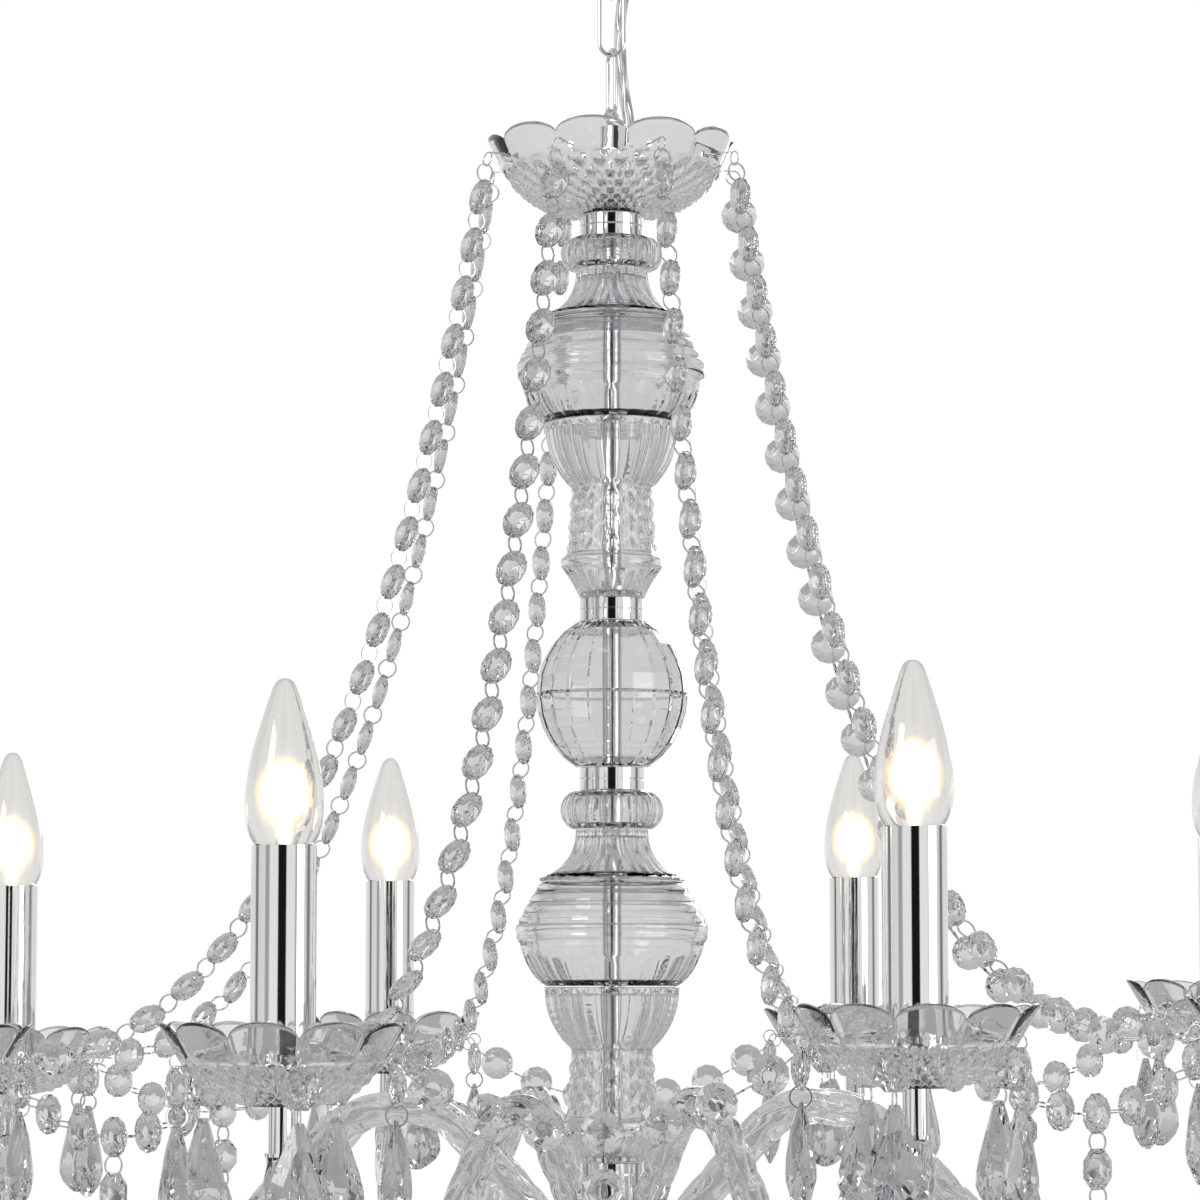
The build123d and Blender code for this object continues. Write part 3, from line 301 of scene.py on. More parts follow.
def plastic(name, colour, rough):
    material, shader = new_material(name)
    set_inputs(shader, {"Base Color": (*colour, 1.0)})
    noise = add_skin(material, shader, 400.0, 0.00003)
    roughness_from(material, shader, noise, *rough)
    return material


# %% Materials
MOULDED_GLASS = glass("moulded_glass", (0.882, 0.885, 0.892), 1.50, 40.0, 0.00012)
CUT_GLASS = glass("cut_glass", (0.79, 0.792, 0.80), 1.60, 90.0, 0.00002, (0.0, 0.01))
DROP_GLASS = glass("drop_glass", (0.70, 0.705, 0.715), 1.60, 90.0, 0.00002, (0.0, 0.01))
BULB_GLASS = glass("bulb_glass", (0.965, 0.96, 0.945), 1.45, 30.0, 0.00002, (0.0, 0.01))
CHROME = metal("polished_chrome", (0.86, 0.865, 0.87), (0.03, 0.09))
WIRE_STEEL = metal("bright_wire", (0.78, 0.78, 0.79), (0.12, 0.25))
PLATED_STEEL = metal("plated_steel", (0.62, 0.62, 0.63), (0.25, 0.4), 200.0, 0.00004)
CAP_METAL = metal("lamp_cap", (0.72, 0.70, 0.66), (0.2, 0.35), 150.0, 0.00004)
CLEAR_COVER = glass("clear_cover", (0.93, 0.93, 0.93), 1.40, 120.0, 0.00004, (0.05, 0.12))
WHITE_PLASTIC = plastic("white_plastic", (0.8, 0.8, 0.78), (0.35, 0.5))
BLACK_PLASTIC = plastic("black_plastic", (0.02, 0.02, 0.02), (0.35, 0.5))

NODE_FINISH = {
    "clear_glass": MOULDED_GLASS,
    "cut_glass": CUT_GLASS,
    "bulb_glass": BULB_GLASS,
    "chrome": CHROME,
    "steel": WIRE_STEEL,
    "flex_cover": CLEAR_COVER,
    "wire_cover": CLEAR_COVER,
    "plastic": WHITE_PLASTIC,
    "holder_plastic": BLACK_PLASTIC,
}
slot_of = {part["node"]: part["material_slot"] for part in frame["record"]["subparts"]}
for node, obj in frame["nodes"].items():
    finish = PLATED_STEEL if node == "ceiling_bracket" else NODE_FINISH[slot_of[node]]
    if not obj.data.materials:
        obj.data.materials.append(finish)
    for place in obj.material_slots:
        place.material = finish
print("finishes on", len(frame["nodes"]), "parts")


def dress(obj, finish, body, *nodes, slot="clear_glass"):
    """Gives a new piece its finish, the body it rides on, if it has one, and the parts it stands for."""
    obj.data.materials.clear()
    obj.data.materials.append(finish)
    if body:
        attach(obj, body)
    if nodes:
        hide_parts(*nodes)
    return obj


# %% [markdown]
# ## The scalloped dishes
# The dish on top, the eight drip pans and the dish under the hub are one kind of glass: a bowl cut with a
# diamond pattern, under a collar of ten rounded petals. A petal is a bump of the radius round the rim
# that fades out towards the foot. The diamonds come from two sets of spiral grooves that cross.

# %% Petal bowl
PETALS = 10
DISH_TURN = np.radians(9.0)  # direction of the top dish's first petal
DISH_WALL = 3.6
ROD_HOLE = 5.3
PETAL_NOTCH = 0.42  # how much of the flare is cut away between two petals
DIAMONDS = 30  # spiral grooves each way round a dish
DIAMOND_DEPTH = 2.3


def ridge(value):
    """A sharp-edged wave between 0 and 1: how far a value is from the nearest whole number, doubled."""
    return 2 * np.abs(value - np.round(value))


def petal_outline(rim_r, height, foot_r, waist, shoulder, hole_r):
    """The bowl's (radius, height) outline: outside from the foot to the rim, then back down the inside."""
    wall = DISH_WALL
    round_side = arc((foot_r, 0.0), waist, shoulder, 14)
    outside = [(hole_r, 0.0)] + round_side + [(rim_r - 0.6, height - 0.8), (rim_r - 1.6, height)]
    inside = [
        (rim_r - 3.0, height - 0.8),
        (shoulder[0] - wall * 0.9, shoulder[1] + wall * 0.4),
    ]
    low_side = arc((foot_r - 1.2, wall), (waist[0] - wall * 0.6, waist[1] + wall * 0.9), inside[-1], 8)
    return outside + inside + low_side[-2::-1] + [(hole_r, wall)]


def petal_shape(shoulder, turn):
    """Petals shorten the flare between lobes, above the shoulder. Diamonds are crossed spiral cuts."""

    def shape(radius, level, angle):
        off = (angle - turn + np.pi / PETALS) % (TAU / PETALS) - np.pi / PETALS
        arc_share = np.sqrt(np.maximum(1 - (off * PETALS / np.pi) ** 2 * 0.985, 0.0))
        reach = 1 - PETAL_NOTCH * (1 - arc_share)
        above = np.maximum(level - shoulder[1], 0.0)
        out = radius - shoulder[0]
        on_petal = np.clip(above / 3.0, 0.0, 1.0)
        found = radius + (shoulder[0] + out * reach - radius) * on_petal
        flute = 0.7 * (1 - arc_share) * np.clip((level - shoulder[1] * 0.7) / 4.0, 0.0, 1.0)
        top = np.where(level > shoulder[1], shoulder[1] + above * reach, level)
        from_foot = np.clip((radius - 15) / 3, 0.0, 1.0)
        cut_zone = np.clip((shoulder[1] * 1.02 - level) / 2.0, 0.0, 1.0) * from_foot
        spiral = radius / 9.5
        one = ridge(DIAMONDS * angle / TAU + spiral)
        two = ridge(DIAMONDS * angle / TAU - spiral)
        depth = DIAMOND_DEPTH * (1 - np.minimum(one, two)) * cut_zone
        inside = np.clip((level - cut_floor(radius, shoulder)) / 2.0, 0.0, 1.0)
        return found - flute - depth * 0.5 * (1 - inside), top + depth * 0.8 * (1 - inside)

    return shape


def cut_floor(radius, shoulder):
    """The height halfway through the bowl's wall at a radius, which tells the outside from the inside."""
    return (radius / shoulder[0]) ** 2.6 * shoulder[1] + 1.9


def dish_grid(size, around, rows, turn, hole_r):
    rim_r, height, foot_r, waist, shoulder = size
    outline = outline_along(petal_outline(rim_r, height, foot_r, waist, shoulder, hole_r), rows)
    grid = turned_points(outline, around, petal_shape(shoulder, turn))
    rows, columns = grid.shape[:2]
    points = grid.reshape(-1, 3)
    return points, outward(points, grid_faces(rows, columns))


# Each: radius of the rim, height, radius of the foot, a point on the round side, and the shoulder.
TOP_DISH = (66.0, 41.0, 17.0, (43.0, 7.0), (58.0, 24.0))
PAN = (55.5, 37.0, 13.0, (33.0, 5.5), (44.5, 18.5))
PAN_HOLE = 5.0
TOP_DISH_FOOT = -201.0
BOTTOM_DISH_FOOT = -814.8

points, faces = dish_grid(TOP_DISH, 360, 84, DISH_TURN, ROD_HOLE)
top_dish = new_object("top_dish_glass", points + [0, 0, TOP_DISH_FOOT * MM], faces.tolist())
dress(top_dish, MOULDED_GLASS, "chandelier", "top_dish")

points, faces = dish_grid(PAN, 240, 64, 0.0, ROD_HOLE)
bottom_dish = new_object("bottom_dish_glass", points + [0, 0, BOTTOM_DISH_FOOT * MM], faces.tolist())
dress(bottom_dish, MOULDED_GLASS, "chandelier", "bottom_dish")
print("dish faces", len(top_dish.data.polygons), len(bottom_dish.data.polygons))

# %% Where the lamps stand
ARMS = 8
LAMP_CIRCLE = 362.0
PAN_FOOT = -654.0
LAMP_RISE = np.array([17.0, 1.0, -1.0, -9.0, -6.0, -4.0, 4.0, 8.0])
ARM_TURN = np.radians(22.5 + 45.0 * np.arange(ARMS))


def turn_z(angle):
    c, s = np.cos(angle), np.sin(angle)
    return np.array([[c, -s, 0.0], [s, c, 0.0], [0.0, 0.0, 1.0]])


def lamp_origin(k):
    x, y = LAMP_CIRCLE * np.cos(ARM_TURN[k]), LAMP_CIRCLE * np.sin(ARM_TURN[k])
    return np.array([x, y, PAN_FOOT + LAMP_RISE[k]]) * MM


def lamp_place(k, turn=0.0):
    return np.concatenate([turn_z(turn), lamp_origin(k)[:, None]], axis=1)


# %% Drip pans
points, faces = dish_grid(PAN, 210, 56, np.pi / PETALS, PAN_HOLE)
for k in range(ARMS):
    placed, placed_faces = copies(points, faces, [lamp_place(k, ARM_TURN[k] + np.pi)])
    piece = new_object(f"drip_pan_{k + 1}", placed, placed_faces.tolist())
    dress(piece, MOULDED_GLASS, "chandelier", "drip_pans")
print("drip pan faces", len(piece.data.polygons))

# %% [markdown]
# ## The glass of the column
# The rod carries a stack of hollow glass pieces: lobed rings, fluted bells, banded bowls, stems with a
# fluted goblet and a diamond-cut neck, and a faceted ball. Each is an outline turned round the rod, and
# its flutes, bands or facets are a wave added to the radius.

# %% Heights of the column
COLLAR = 6.1
UPPER_MELON_HEIGHT, LOWER_MELON_HEIGHT = 17.0, 20.0
BELL_HEIGHT = 27.0
BOWL_HEIGHT = 54.0
UPPER_GOBLET, LOWER_GOBLET = 34.0, 32.0
NECK_HEIGHT = 35.0
STEM_FOOT = 23.0
BALL_HEIGHT = 76.0
UPPER_MELON = TOP_DISH_FOOT - 2 * COLLAR
UPPER_BELL = UPPER_MELON - UPPER_MELON_HEIGHT
UPPER_BOWL = UPPER_BELL - BELL_HEIGHT
UPPER_STEM = UPPER_BOWL - BOWL_HEIGHT
BALL_TOP = UPPER_STEM - UPPER_GOBLET - NECK_HEIGHT - STEM_FOOT - 2 * COLLAR
LOWER_MELON = BALL_TOP - BALL_HEIGHT - 2 * COLLAR
LOWER_BELL = LOWER_MELON - LOWER_MELON_HEIGHT
LOWER_BOWL = LOWER_BELL - BELL_HEIGHT
LOWER_STEM = LOWER_BOWL - BOWL_HEIGHT
WALL = 3.6
END_GAP = 0.25  # each end stands this far back, so that two pieces of glass never share a face


def flutes(count, depth, from_z, to_z, sharp=1.0):
    """Rounded flutes between two heights: the radius dips count times round, fading out at both ends."""

    def shape(radius, level, angle):
        low, high = min(from_z, to_z), max(from_z, to_z)
        fade = np.clip((level - low) / 2.0, 0, 1) * np.clip((high - level) / 2.0, 0, 1)
        inner = np.clip((radius - ROD_HOLE - 3.0) / 6.0, 0, 1)
        wave = np.abs(np.sin(count * angle / 2)) ** sharp
        return radius - depth * (1 - wave) * fade * inner, level

    return shape


def hollow(outer, height, wall=WALL):
    """The inside of a piece: its outline a wall's thickness in, with the ends left solid."""
    inner = [(r - wall, min(max(z, -height + wall), -wall)) for r, z in outer]
    return [(ROD_HOLE, -height), (ROD_HOLE + 0.4, -height + wall)] + inner[::-1] + [(ROD_HOLE + 0.4, -wall)]


def column_piece(name, node, outer, height, top, shape, around=216, count=96, smooth=True):
    corners = [(ROD_HOLE, 0.0)] + outer + hollow(outer, height)
    corners = [(r, min(max(z, END_GAP - height), -END_GAP)) for r, z in corners]
    piece = turned_piece(name, corners, count, around, shape, lift=top)
    piece.data.polygons.foreach_set("use_smooth", np.full(len(piece.data.polygons), smooth))
    dress(piece, MOULDED_GLASS, "chandelier", node)
    return piece


# %% Melon rings
def melon_outline(height):
    return arc((20.0, 0.0), (27.3, -height / 2), (20.0, -height), 12)


for name, node, top, height in (
    ("melon_ring_high", "upper_melon_ring", UPPER_MELON, UPPER_MELON_HEIGHT),
    ("melon_ring_low", "lower_melon_ring", LOWER_MELON, LOWER_MELON_HEIGHT),
):
    column_piece(name, node, melon_outline(height), height, top, flutes(14, 3.2, 0.5, -height - 0.5, 0.7))

# %% Bells
BELL_OUTLINE = arc((19.0, 0.0), (24.4, -16.7), (37.6, -25.2), 12) + [(37.6, -BELL_HEIGHT)]
for name, node, top in (("bell_high", "upper_bell", UPPER_BELL), ("bell_low", "lower_bell", LOWER_BELL)):
    column_piece(name, node, BELL_OUTLINE, BELL_HEIGHT, top, flutes(24, 1.6, 1.0, -26.5, 0.8))

# %% Bowls
BOWL_OUTLINE = [(37.2, 0.0), (43.7, -10.8), (49.8, -22.7), (49.8, -28.0), (45.6, -38.9)]
BOWL_OUTLINE += arc((45.6, -38.9), (41.6, -47.0), (34.0, -BOWL_HEIGHT), 6)[1:]


def bands(radius, level, angle):
    """Fine turned lines: sharp grooves every few millimetres of height, with flutes below them."""
    outside = np.clip((radius - 30.0) / 3.0, 0, 1)
    groove = 1.1 * (1 - ridge(level / 5.4)) ** 3 * np.clip((level + 36.0) / 2.0, 0, 1)
    low = np.clip((-38.0 - level) / 3.0, 0, 1)
    cut = 1.3 * (1 - np.abs(np.sin(12 * angle))) * low
    return radius - (groove + cut) * outside, level


for name, node, top in (("bowl_high", "upper_bowl", UPPER_BOWL), ("bowl_low", "lower_bowl", LOWER_BOWL)):
    column_piece(name, node, BOWL_OUTLINE, BOWL_HEIGHT, top, bands, around=240, count=150)


# %% Stems
def stem_outline(goblet):
    neck = goblet + NECK_HEIGHT
    height = neck + STEM_FOOT
    outer = arc((35.0, 0.0), (32.4, -goblet / 2), (21.2, -goblet), 10)
    outer += [(23.5, -neck), (26.5, -neck - 2.5), (26.5, -neck - 6.5)]
    outer += arc((26.5, -neck - 6.5), (20.2, -height + 7), (16.8, -height), 6)[1:]
    return outer, height


def stem_cut(goblet):
    """Flutes on the goblet, crossed spiral cuts on the neck and flutes on the flared foot."""
    neck = goblet + NECK_HEIGHT

    def shape(radius, level, angle):
        outside = np.clip((radius - ROD_HOLE - 8.0) / 4.0, 0, 1)
        on_goblet = np.clip((level + goblet - 1.0) / 2.0, 0, 1) * np.clip((-1.5 - level) / 2.0, 0, 1)
        on_neck = np.clip((-goblet - 1.0 - level) / 1.0, 0, 1) * np.clip((level + neck - 1.0) / 1.0, 0, 1)
        on_foot = np.clip((-neck - 8.0 - level) / 2.0, 0, 1)
        flute = 1.5 * (1 - np.abs(np.sin(11 * angle)))
        spiral = 12 * angle / TAU
        cross = 2.0 * (1 - np.minimum(ridge(spiral + level / 12.0), ridge(spiral - level / 12.0)))
        foot = 1.2 * (1 - np.abs(np.sin(10 * angle)))
        return radius - (flute * on_goblet + (cross - 0.6) * on_neck + foot * on_foot) * outside, level

    return shape


for name, node, top, goblet in (
    ("stem_high", "upper_stem", UPPER_STEM, UPPER_GOBLET),
    ("stem_low", "lower_stem", LOWER_STEM, LOWER_GOBLET),
):
    outline, height = stem_outline(goblet)
    column_piece(name, node, outline, height, top, stem_cut(goblet), around=264, count=150)

# %% Ball
BALL_R = 39.4
BALL_END = np.sqrt(BALL_R**2 - (BALL_HEIGHT / 2) ** 2) + 8


def seam(radius, level, angle):
    """A fine groove round the ball's equator."""
    outside = np.clip((radius - ROD_HOLE - 9.0) / 3.0, 0, 1)
    near = 1 - np.clip(np.abs(level + BALL_HEIGHT / 2) / 0.6, 0, 1)
    return radius - 0.9 * near * outside, level


equator = -BALL_HEIGHT / 2
upper = arc((BALL_END, 0.0), (BALL_R, equator), (BALL_END, -BALL_HEIGHT), 10)
BALL_OUTLINE = [p for p in upper if p[1] > equator + 1]
BALL_OUTLINE += [(BALL_R, equator + 0.7), (BALL_R, equator), (BALL_R, equator - 0.7)]
BALL_OUTLINE += [p for p in upper if p[1] < equator - 1]
column_piece(
    "ball_middle", "centre_ball", BALL_OUTLINE, BALL_HEIGHT, BALL_TOP, seam, around=20, count=4, smooth=False
)
print("column pieces done")

# %% [markdown]
# ## The twisted arms
# Each arm is a clear glass tube with rounded ribs that wind along it like a rope. The ribs are a wave round
# the tube's section, and the wave turns steadily with the distance along the arm. The tube's middle line is
# straight runs joined by round bends.

# %% Arms
ARM_R = 8.5
ARM_BORE = 3.4
SOCKET_FLOOR = -769.8
ARM_RIBS = 6
TWIST_LENGTH = 44.0  # one rib goes once round in this distance


def rounded_line(corners, radii, step=2.6):
    """Even points on straight runs joined by round bends that touch both runs."""
    corners = np.asarray(corners, float)
    found = [corners[0]]
    for before, corner, after, radius in zip(corners, corners[1:], corners[2:], radii):
        way_in = (corner - before) / np.linalg.norm(corner - before)
        way_out = (after - corner) / np.linalg.norm(after - corner)
        bend = np.arccos(np.clip(way_in @ way_out, -1, 1))
        set_back = radius * np.tan(bend / 2)
        side = np.sign(way_in[0] * way_out[1] - way_in[1] * way_out[0])
        normal = side * np.array([-way_in[1], way_in[0]])
        start = corner - way_in * set_back
        centre = start + normal * radius
        count = max(int(np.ceil(radius * bend / step)), 2)
        turn = side * np.linspace(0, bend, count + 1)
        arm = start - centre
        c, s = np.cos(turn), np.sin(turn)
        found += list(centre + np.stack([arm[0] * c - arm[1] * s, arm[0] * s + arm[1] * c], axis=1))
    found = np.array(found + [corners[-1]])
    steps = np.concatenate([[0.0], np.cumsum(np.linalg.norm(np.diff(found, axis=0), axis=1))])
    even = np.linspace(0, steps[-1], int(steps[-1] / step) + 1)
    return np.stack([np.interp(even, steps, found[:, 0]), np.interp(even, steps, found[:, 1])], axis=1), even


def arm_line(k):
    foot = PAN_FOOT + LAMP_RISE[k] - 22.0
    trough = -668.0 + LAMP_RISE[k] - (LAMP_CIRCLE - 142.0)
    corners = [(38, SOCKET_FLOOR), (38, -725), (96, -664), (142, -668)]
    corners += [(LAMP_CIRCLE, trough), (LAMP_CIRCLE, foot)]
    return rounded_line(corners, (30.0, 42.0, 42.0, 78.0))


def arm_points(k, around=30):
    """A ring of points at each step of the line: out along the ribbed outside, and back along the bore."""
    line, along = arm_line(k)
    way = np.gradient(line, axis=0)
    way /= np.linalg.norm(way, axis=1)[:, None]
    angle = np.linspace(0, TAU, around, endpoint=False)[None, :]
    rib = np.abs(np.cos(ARM_RIBS / 2 * (angle + TAU * along[:, None] / TWIST_LENGTH / ARM_RIBS * 2)))
    fade = np.clip((along[-1] - along[:, None]) / 3.0, 0, 1)
    outside = ARM_R - 1.3 * (1 - rib) * fade - 1.8 * np.clip(1 - (along[-1] - along[:, None]) / 12.0, 0, 1)
    rings = []
    for radius, rows in ((outside, slice(None)), (ARM_BORE + 0 * outside, slice(None, None, -1))):
        across = radius * np.cos(angle)
        sideways = radius * np.sin(angle)
        x = line[:, :1] + across * -way[:, 1:]
        z = line[:, 1:] + across * way[:, :1]
        rings.append(np.stack([x, sideways, z], axis=-1)[rows])
    grid = np.concatenate(rings, axis=0) * MM
    rows, columns = grid.shape[:2]
    points = grid.reshape(-1, 3) @ turn_z(ARM_TURN[k]).T
    return points, outward(points, grid_faces(rows, columns))


for k in range(ARMS):
    points, faces = arm_points(k)
    piece = new_object(f"twisted_arm_{k + 1}", points, faces.tolist())
    dress(piece, MOULDED_GLASS, "chandelier", f"arm_{k + 1}")
print("arm faces", len(piece.data.polygons))

# %% [markdown]
# ## The candle bulbs
# A clear candle bulb has a screw cap, a thin envelope drawn out to a point, a glass stem inside and a thin
# bright filament on it. The envelope is an outline turned round its axis. The light comes from the
# filament, and a soft glow round it stands in for the glare that a camera sees.

# %% Bulb shapes
BULB_NECK = 108.3
BULB_TIP = 188.0


def closed_turn(outline, around):
    """A turned piece whose outline starts and ends on the axis: its poles are drawn together and merged."""
    outline = np.asarray(outline, float)
    angle = np.linspace(0, TAU, around, endpoint=False)[None, :]
    inner = outline[1:-1]
    radius, height = inner[:, :1] + 0 * angle, inner[:, 1:] + 0 * angle
    body = np.stack([radius * np.cos(angle), radius * np.sin(angle), height], axis=-1).reshape(-1, 3)
    ends = np.array([[0, 0, outline[0, 1]], [0, 0, outline[-1, 1]]])
    points = np.vstack([body, ends]) * MM
    return points, outward(points, capped_faces(len(inner), around))


def side_of_bulb(wall):
    """The envelope's side, a wall's thickness in: full above the neck, with a soft tip."""
    height = np.array(
        [0.0, 2.5, 6.0, 10.0, 15.0, 21.0, 28.0, 36.0, 46.0, 56.5, 64.5, 71.0, 75.0, 77.4, 78.8, 79.4]
    )
    radius = np.array(
        [7.6, 10.2, 13.2, 15.6, 17.0, 17.5, 17.3, 16.6, 14.7, 11.7, 9.2, 7.1, 5.7, 4.6, 3.2, 1.8]
    )
    fine = np.linspace(0.0, 1.0, 48)
    share = np.linspace(0.0, 1.0, len(height))
    blend = np.array([np.interp(fine, share, row) for row in (radius, height)])
    kernel = np.array([1.0, 2.0, 3.0, 2.0, 1.0]) / 9.0
    padded = np.pad(blend, ((0, 0), (2, 2)), mode="reflect", reflect_type="odd")
    blend = np.array([np.convolve(row, kernel, mode="valid") for row in padded])
    inwards = np.maximum(blend[0] - wall, 0.3)
    return [(r, BULB_NECK + wall + h * (1 - 1.6 * wall / 78.2)) for r, h in zip(inwards, blend[1])]


def envelope():
    outer, inner = side_of_bulb(0.0), side_of_bulb(0.7)
    loop = [(0.0, BULB_NECK)] + outer + [(0.0, BULB_TIP)]
    back = [(0.0, BULB_NECK + 0.7)] + inner + [(0.0, BULB_TIP - 0.7)]
    one, one_faces = closed_turn(loop, 40)
    two, two_faces = closed_turn(back, 40)
    return np.vstack([one, two]), np.vstack([one_faces, two_faces[:, ::-1] + len(one)])


def screw_cap():
    """The cap's thread is a wave of its radius that climbs one pitch each time round."""
    rows, around = 60, 36
    height = np.linspace(BULB_NECK - 25.0, BULB_NECK - 1.0, rows)[:, None]
    angle = np.linspace(0, TAU, around, endpoint=False)[None, :]
    thread = 0.45 * np.cos(TAU * (height / 3.2) - angle)
    fade = np.clip((height - BULB_NECK + 22.0) / 4.0, 0, 1)
    radius = (6.5 + thread * fade) * np.clip(0.45 + (height - BULB_NECK + 25.0) / 6.0, 0, 1)
    body = np.stack([radius * np.cos(angle), radius * np.sin(angle), height + 0 * angle], axis=-1)
    foot, head = [0, 0, BULB_NECK - 25.0], [0, 0, BULB_NECK - 1.0]
    points = np.vstack([body.reshape(-1, 3), [foot], [head]]) * MM
    return points, outward(points, capped_faces(rows, around))


def tube_along(line, radius, around=8, helper=None):
    """A closed tube along a line of points, with flat ends. A helper keeps a thick one from twisting."""
    line = np.asarray(line, float)
    way = np.gradient(line, axis=0)
    way /= np.linalg.norm(way, axis=1)[:, None]
    if helper is None:
        helper = np.where(np.abs(way[:, 2:]) > 0.9, [[1.0, 0.0, 0.0]], [[0.0, 0.0, 1.0]])
    side = np.cross(way, helper)
    side /= np.linalg.norm(side, axis=1)[:, None]
    other = np.cross(way, side)
    angle = np.linspace(0, TAU, around, endpoint=False)[None, :, None]
    ring = line[:, None, :] + radius * (side[:, None] * np.cos(angle) + other[:, None] * np.sin(angle))
    points = np.vstack([ring.reshape(-1, 3), line[:1], line[-1:]]) * MM
    return points, outward(points, capped_faces(len(line), around))


def filament():
    """A thin looped filament: it goes up one side and down the other, with a fine zigzag."""
    share = np.linspace(0, 1, 60)
    x = 4.6 * np.cos(np.pi * share) + 0.5 * np.sin(share * 50)
    z = BULB_NECK + 22.0 + 17.0 * np.sin(np.pi * share)
    return tube_along(np.stack([x, 1.4 * np.sin(share * 20), z], axis=1), 0.32, 6)


def glass_stem():
    """The glass stem that carries the filament, a slim bulged post."""
    height = [0.9, 1.0, 8.0, 16.0, 20.0, 22.0, 23.0]
    radius = [0.0, 4.6, 2.4, 1.6, 2.6, 1.4, 0.0]
    return closed_turn([(r, BULB_NECK + h) for r, h in zip(radius, height)], 20)


def support_wires():
    side = np.array([(4.6, 0, BULB_NECK + 22.5), (2.4, 0, BULB_NECK + 14), (1.0, 0, BULB_NECK + 2)])
    one, one_faces = tube_along(side * [-1, 1, 1], 0.22, 6)
    two, two_faces = tube_along(side, 0.22, 6)
    return np.vstack([one, two]), np.vstack([one_faces, two_faces + len(one)])


# %% Bulb finishes
def glowing(name, colour, strength):
    material, shader = new_material(name)
    colour = (*colour, 1.0)
    set_inputs(shader, {"Base Color": colour, "Emission Color": colour, "Emission Strength": strength})
    return material


HOT_FILAMENT = glowing("hot_filament", (1.0, 0.80, 0.50), 60.0)


def halo_material():
    """A glow that is strongest where it is seen face on and fades to nothing at its edge."""
    material = bpy.data.materials.new("filament_halo")
    material.use_nodes = True
    nodes, links = material.node_tree.nodes, material.node_tree.links
    nodes.clear()
    out = nodes.new("ShaderNodeOutputMaterial")
    clear = nodes.new("ShaderNodeBsdfTransparent")
    light = nodes.new("ShaderNodeEmission")
    light.inputs["Strength"].default_value = 2.1
    tint = nodes.new("ShaderNodeValToRGB")
    tint.color_ramp.elements[0].position = 0.04
    tint.color_ramp.elements[0].color = (1.0, 0.97, 0.88, 1.0)
    tint.color_ramp.elements[1].position = 0.5
    tint.color_ramp.elements[1].color = (1.0, 0.68, 0.32, 1.0)
    edge = nodes.new("ShaderNodeLayerWeight")
    edge.inputs["Blend"].default_value = 0.5
    cosine = nodes.new("ShaderNodeMath")
    cosine.operation = "SUBTRACT"
    cosine.inputs[0].default_value = 1.0
    fall = nodes.new("ShaderNodeMath")
    fall.operation = "POWER"
    fall.inputs[1].default_value = 3.4
    mix = nodes.new("ShaderNodeMixShader")
    links.new(edge.outputs["Facing"], cosine.inputs[1])
    links.new(cosine.outputs["Value"], fall.inputs[0])
    links.new(edge.outputs["Facing"], tint.inputs["Fac"])
    links.new(tint.outputs["Color"], light.inputs["Color"])
    links.new(fall.outputs["Value"], mix.inputs["Fac"])
    links.new(clear.outputs["BSDF"], mix.inputs[1])
    links.new(light.outputs["Emission"], mix.inputs[2])
    links.new(mix.outputs["Shader"], out.inputs["Surface"])
    return material


HALO = halo_material()

# %% Bulbs
def glow_outline(low, high, wide):
    """A spindle of glow, between two heights above the neck."""
    low, high = BULB_NECK + low, BULB_NECK + high
    side = arc((wide / 8, low + 0.3), (wide, (low + high) / 2), (wide / 8, high - 0.3), 16)
    return [(0.0, low)] + side + [(0.0, high)]


bulb_parts = (
    ("envelope", envelope(), BULB_GLASS),
    ("cap", screw_cap(), CAP_METAL),
    ("filament", filament(), HOT_FILAMENT),
    ("stem", glass_stem(), BULB_GLASS),
    ("wires", support_wires(), WIRE_STEEL),
    ("halo", closed_turn(glow_outline(10.0, 47.0, 14.8), 32), HALO),
    ("stem_glow", closed_turn(glow_outline(1.5, 30.0, 5.2), 24), HALO),
)
for k in range(ARMS):
    for part, (points, faces), finish in bulb_parts:
        placed, placed_faces = copies(points, faces, [lamp_place(k, ARM_TURN[k])])
        piece = new_object(f"bulb_{k + 1}_{part}", placed, placed_faces.tolist())
        nodes = (f"bulb_{k + 1}",) if part in ("envelope", "cap") else ()
        dress(piece, finish, f"bulb_{k + 1}", *nodes, slot="bulb_glass")
print("bulbs", ARMS)

# %% [markdown]
# ## The cores of the flex
# Inside the clear cover two silver cores twist slowly round each other. They follow the points of the
# flex's own line, each held a little off the middle, so they bend with it.

# %% Flex, dressed, and its cores
def core_line(turn):
    """The flex's line moved off its middle by a slow twist: one turn in 60 mm."""
    way = np.gradient(flex_line, axis=0)
    way /= np.linalg.norm(way, axis=1)[:, None]
    side = np.cross(way, [1.0, 0.0, 0.0])
    side /= np.linalg.norm(side, axis=1)[:, None]
    other = np.cross(way, side)
    steps = np.concatenate([[0.0], np.cumsum(np.linalg.norm(np.diff(flex_line, axis=0), axis=1))])
    angle = (steps / 0.060 * TAU + turn)[:, None]
    return (flex_line + 0.0013 * (side * np.cos(angle) + other * np.sin(angle))) / MM


